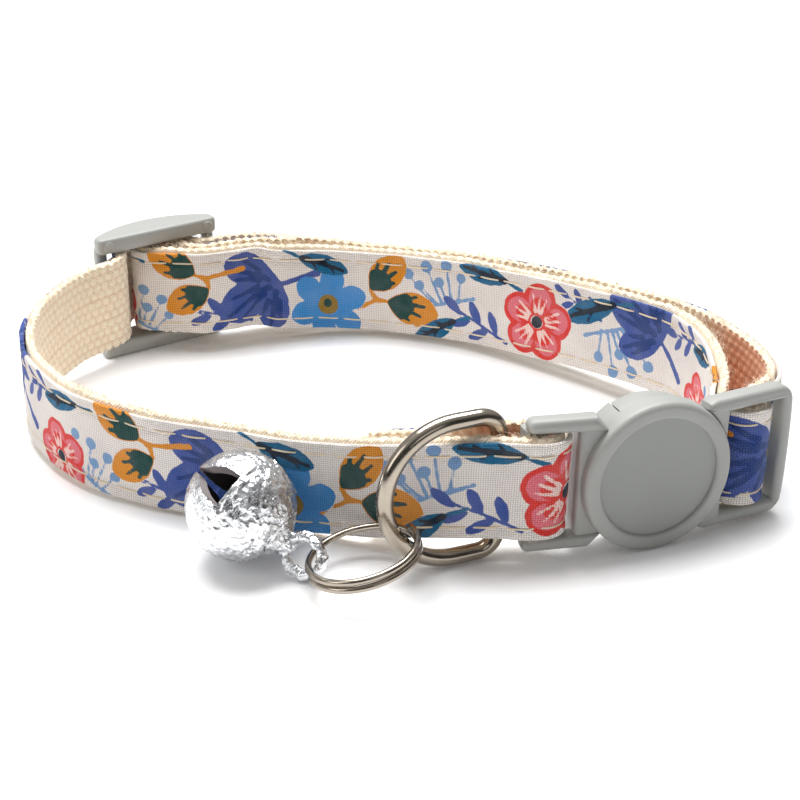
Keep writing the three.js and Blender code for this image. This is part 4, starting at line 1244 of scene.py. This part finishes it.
def crumple(obj, matrix, share):
    """Moves vertices along their normals. share gives the part of the full height at a local point."""
    inverse = matrix.inverted()
    steps = []
    for vertex in obj.data.vertices:
        local = inverse @ (vertex.co / MM - Vector(CENTRE))
        steps.append(vertex.normal * foil_height(local + FOIL_SEED) * share(local) * MM)
    for vertex, step in zip(obj.data.vertices, steps):
        vertex.co += step


def make_shell(matrix):
    """The bell's hollow ball with its slit cut through."""
    shell = ball("bell_look", BELL_RADIUS, 130, 240, BELL_METAL, matrix)
    crumple(shell, matrix, lambda local: 1 - 0.8 * min(max((local.z - 1.2) / 2.0, 0), 1))
    # Painted shade: the inner wall and the slit's cut faces take the dark inside metal
    hollow = ball("bell_hollow", BELL_RADIUS - BELL_WALL, 40, 64, BELL_INSIDE_SHADE, matrix)
    slot = flat_plate("bell_slot", slit_outline(), SLIT_FROM, SLIT_TO, 0.01, BELL_INSIDE_SHADE, matrix)
    for tool in (hollow, slot):
        cut = shell.modifiers.new("cut", "BOOLEAN")
        cut.operation = "DIFFERENCE"
        cut.solver = "EXACT"
        cut.material_mode = "TRANSFER"
        cut.object = tool
    made = made_mesh(shell)
    shell.modifiers.clear()
    shell.data = made
    for tool in (hollow, slot):
        bpy.data.objects.remove(tool)
    sharpen(shell, 50)
    return shell


def make_bell():
    matrix = bell_matrix()
    shell = make_shell(matrix)
    angles = np.linspace(0, 2 * pi, LOOP_POINTS, endpoint=False)
    path = np.stack([LOOP_RADIUS * np.cos(angles), LOOP_RADIUS * np.sin(angles), 0 * angles], 1)
    turn = Vector((0, 0, 1)).rotation_difference(matrix.to_3x3().inverted() @ LOOP_FACING)
    facing = matrix @ Matrix.Translation((0, 0, -LOOP_REACH)) @ turn.to_matrix().to_4x4()
    side = np.tile([0.0, 0.0, 1.0], (LOOP_POINTS, 1))
    loop = sweep("bell_loop", path, side, LOOP_WIRE / 2, BELL_METAL, 20, True, facing)
    share = np.linspace(0, 1, 16)
    flare = zip(NECK_RADIUS + NECK_FLARE * share**1.8, NECK_TIP + NECK_STEP + NECK_LENGTH * share)
    neck = lathe("bell_neck", [(0, NECK_TIP), *flare, (0, NECK_ROOT)], BELL_METAL, matrix, 60)
    for piece in (loop, neck):
        crumple(piece, matrix, lambda local: 1.5)
    return join("bell_look", shell, loop, neck)


def make_pea():
    drop = BELL_RADIUS - BELL_WALL - PEA_RADIUS - PEA_CLEAR
    place = Matrix.Translation(Vector(BELL_AT) - Vector((0, 0, drop)))
    return ball("bell_pea_look", PEA_RADIUS, 16, 28, NICKEL, place)


# Pieces
strap = Strap()
webbing = settle(make_webbing(strap), ["strap_webbing"])
cover = settle(make_cover(strap), ["strap_cover"])
stitches = settle(make_stitches(strap), [])
fibres = settle(make_fibres(strap), [])
buckle = buckle_matrix()
socket = settle(make_socket(buckle), ["buckle_socket"])
plug = settle(make_plug(buckle), ["buckle_plug"])
slider = settle(make_slider(), ["slide_adjuster"])
settle(make_d_ring(), ["d_ring"])
settle(make_split_ring(), ["split_ring"])
settle(make_bell(), ["bell"])
settle(make_pea(), ["bell_pea"])
webbing_length = strap.midline((WEBBING_FACE - SEAM_GAP / 2) / 2) * MM
cover_length = strap.midline((PRINT_FACE + SEAM_GAP / 2) / 2) * MM


# Floor, light and camera
def make_floor():
    mesh = bpy.data.meshes.new("floor")
    low, high = -FLOOR_HALF, FLOOR_HALF
    mesh.from_pydata([(low, low, 0), (high, low, 0), (high, high, 0), (low, high, 0)], [], [(0, 1, 2, 3)])
    mesh.materials.append(floor_material())
    link(bpy.data.objects.new("floor", mesh))


def area_light(name, place, target, size, power):
    light = bpy.data.lights.new(name, "AREA")
    light.shape = "RECTANGLE"
    light.size, light.size_y = size
    light.energy = power
    obj = link(bpy.data.objects.new(name, light))
    obj.location = place
    obj.rotation_euler = (Vector(target) - Vector(place)).to_track_quat("-Z", "Y").to_euler()


def make_sky():
    """A studio that is bright overhead and dim along the sides."""
    world = bpy.data.worlds.new("studio")
    world.use_nodes = True
    bpy.context.scene.world = world
    nodes = Nodes(world.node_tree)
    direction = nodes.node("TexCoord", output="Generated")
    lean = nodes.node("VectorMath", {0: direction, 1: SKY_UP}, "Value", operation="DOT_PRODUCT")
    colour = nodes.node("ValToRGB", {"Fac": nodes.ramp(lean, *SKY_SPAN)}, "Color")
    stops = colour.node.color_ramp.elements
    while len(stops) < len(SKY):
        stops.new(0.5)
    for stop, (place, level) in zip(stops, SKY):
        stop.position = place
        stop.color = (level, level, level * 1.01, 1)
    background = world.node_tree.nodes["Background"]
    background.inputs["Strength"].default_value = SKY_STRENGTH
    world.node_tree.links.new(colour, background.inputs["Color"])


def make_camera():
    data = bpy.data.cameras.new("camera")
    data.sensor_width = 36
    data.lens = CAMERA_LENS
    data.clip_start = 0.005
    data.clip_end = 20
    camera = link(bpy.data.objects.new("camera", data))
    camera.location = (np.array(CAMERA_AT) + CENTRE) * MM
    camera.rotation_euler = Euler((CAMERA_PITCH, 0, 0))
    bpy.context.scene.camera = camera
    bpy.context.scene.view_settings.view_transform = "Standard"


make_floor()
for name, (place, target, size, power) in LIGHTS.items():
    area_light(name, place, target, size, power)
make_sky()
make_camera()

bpy.context.view_layer.update()
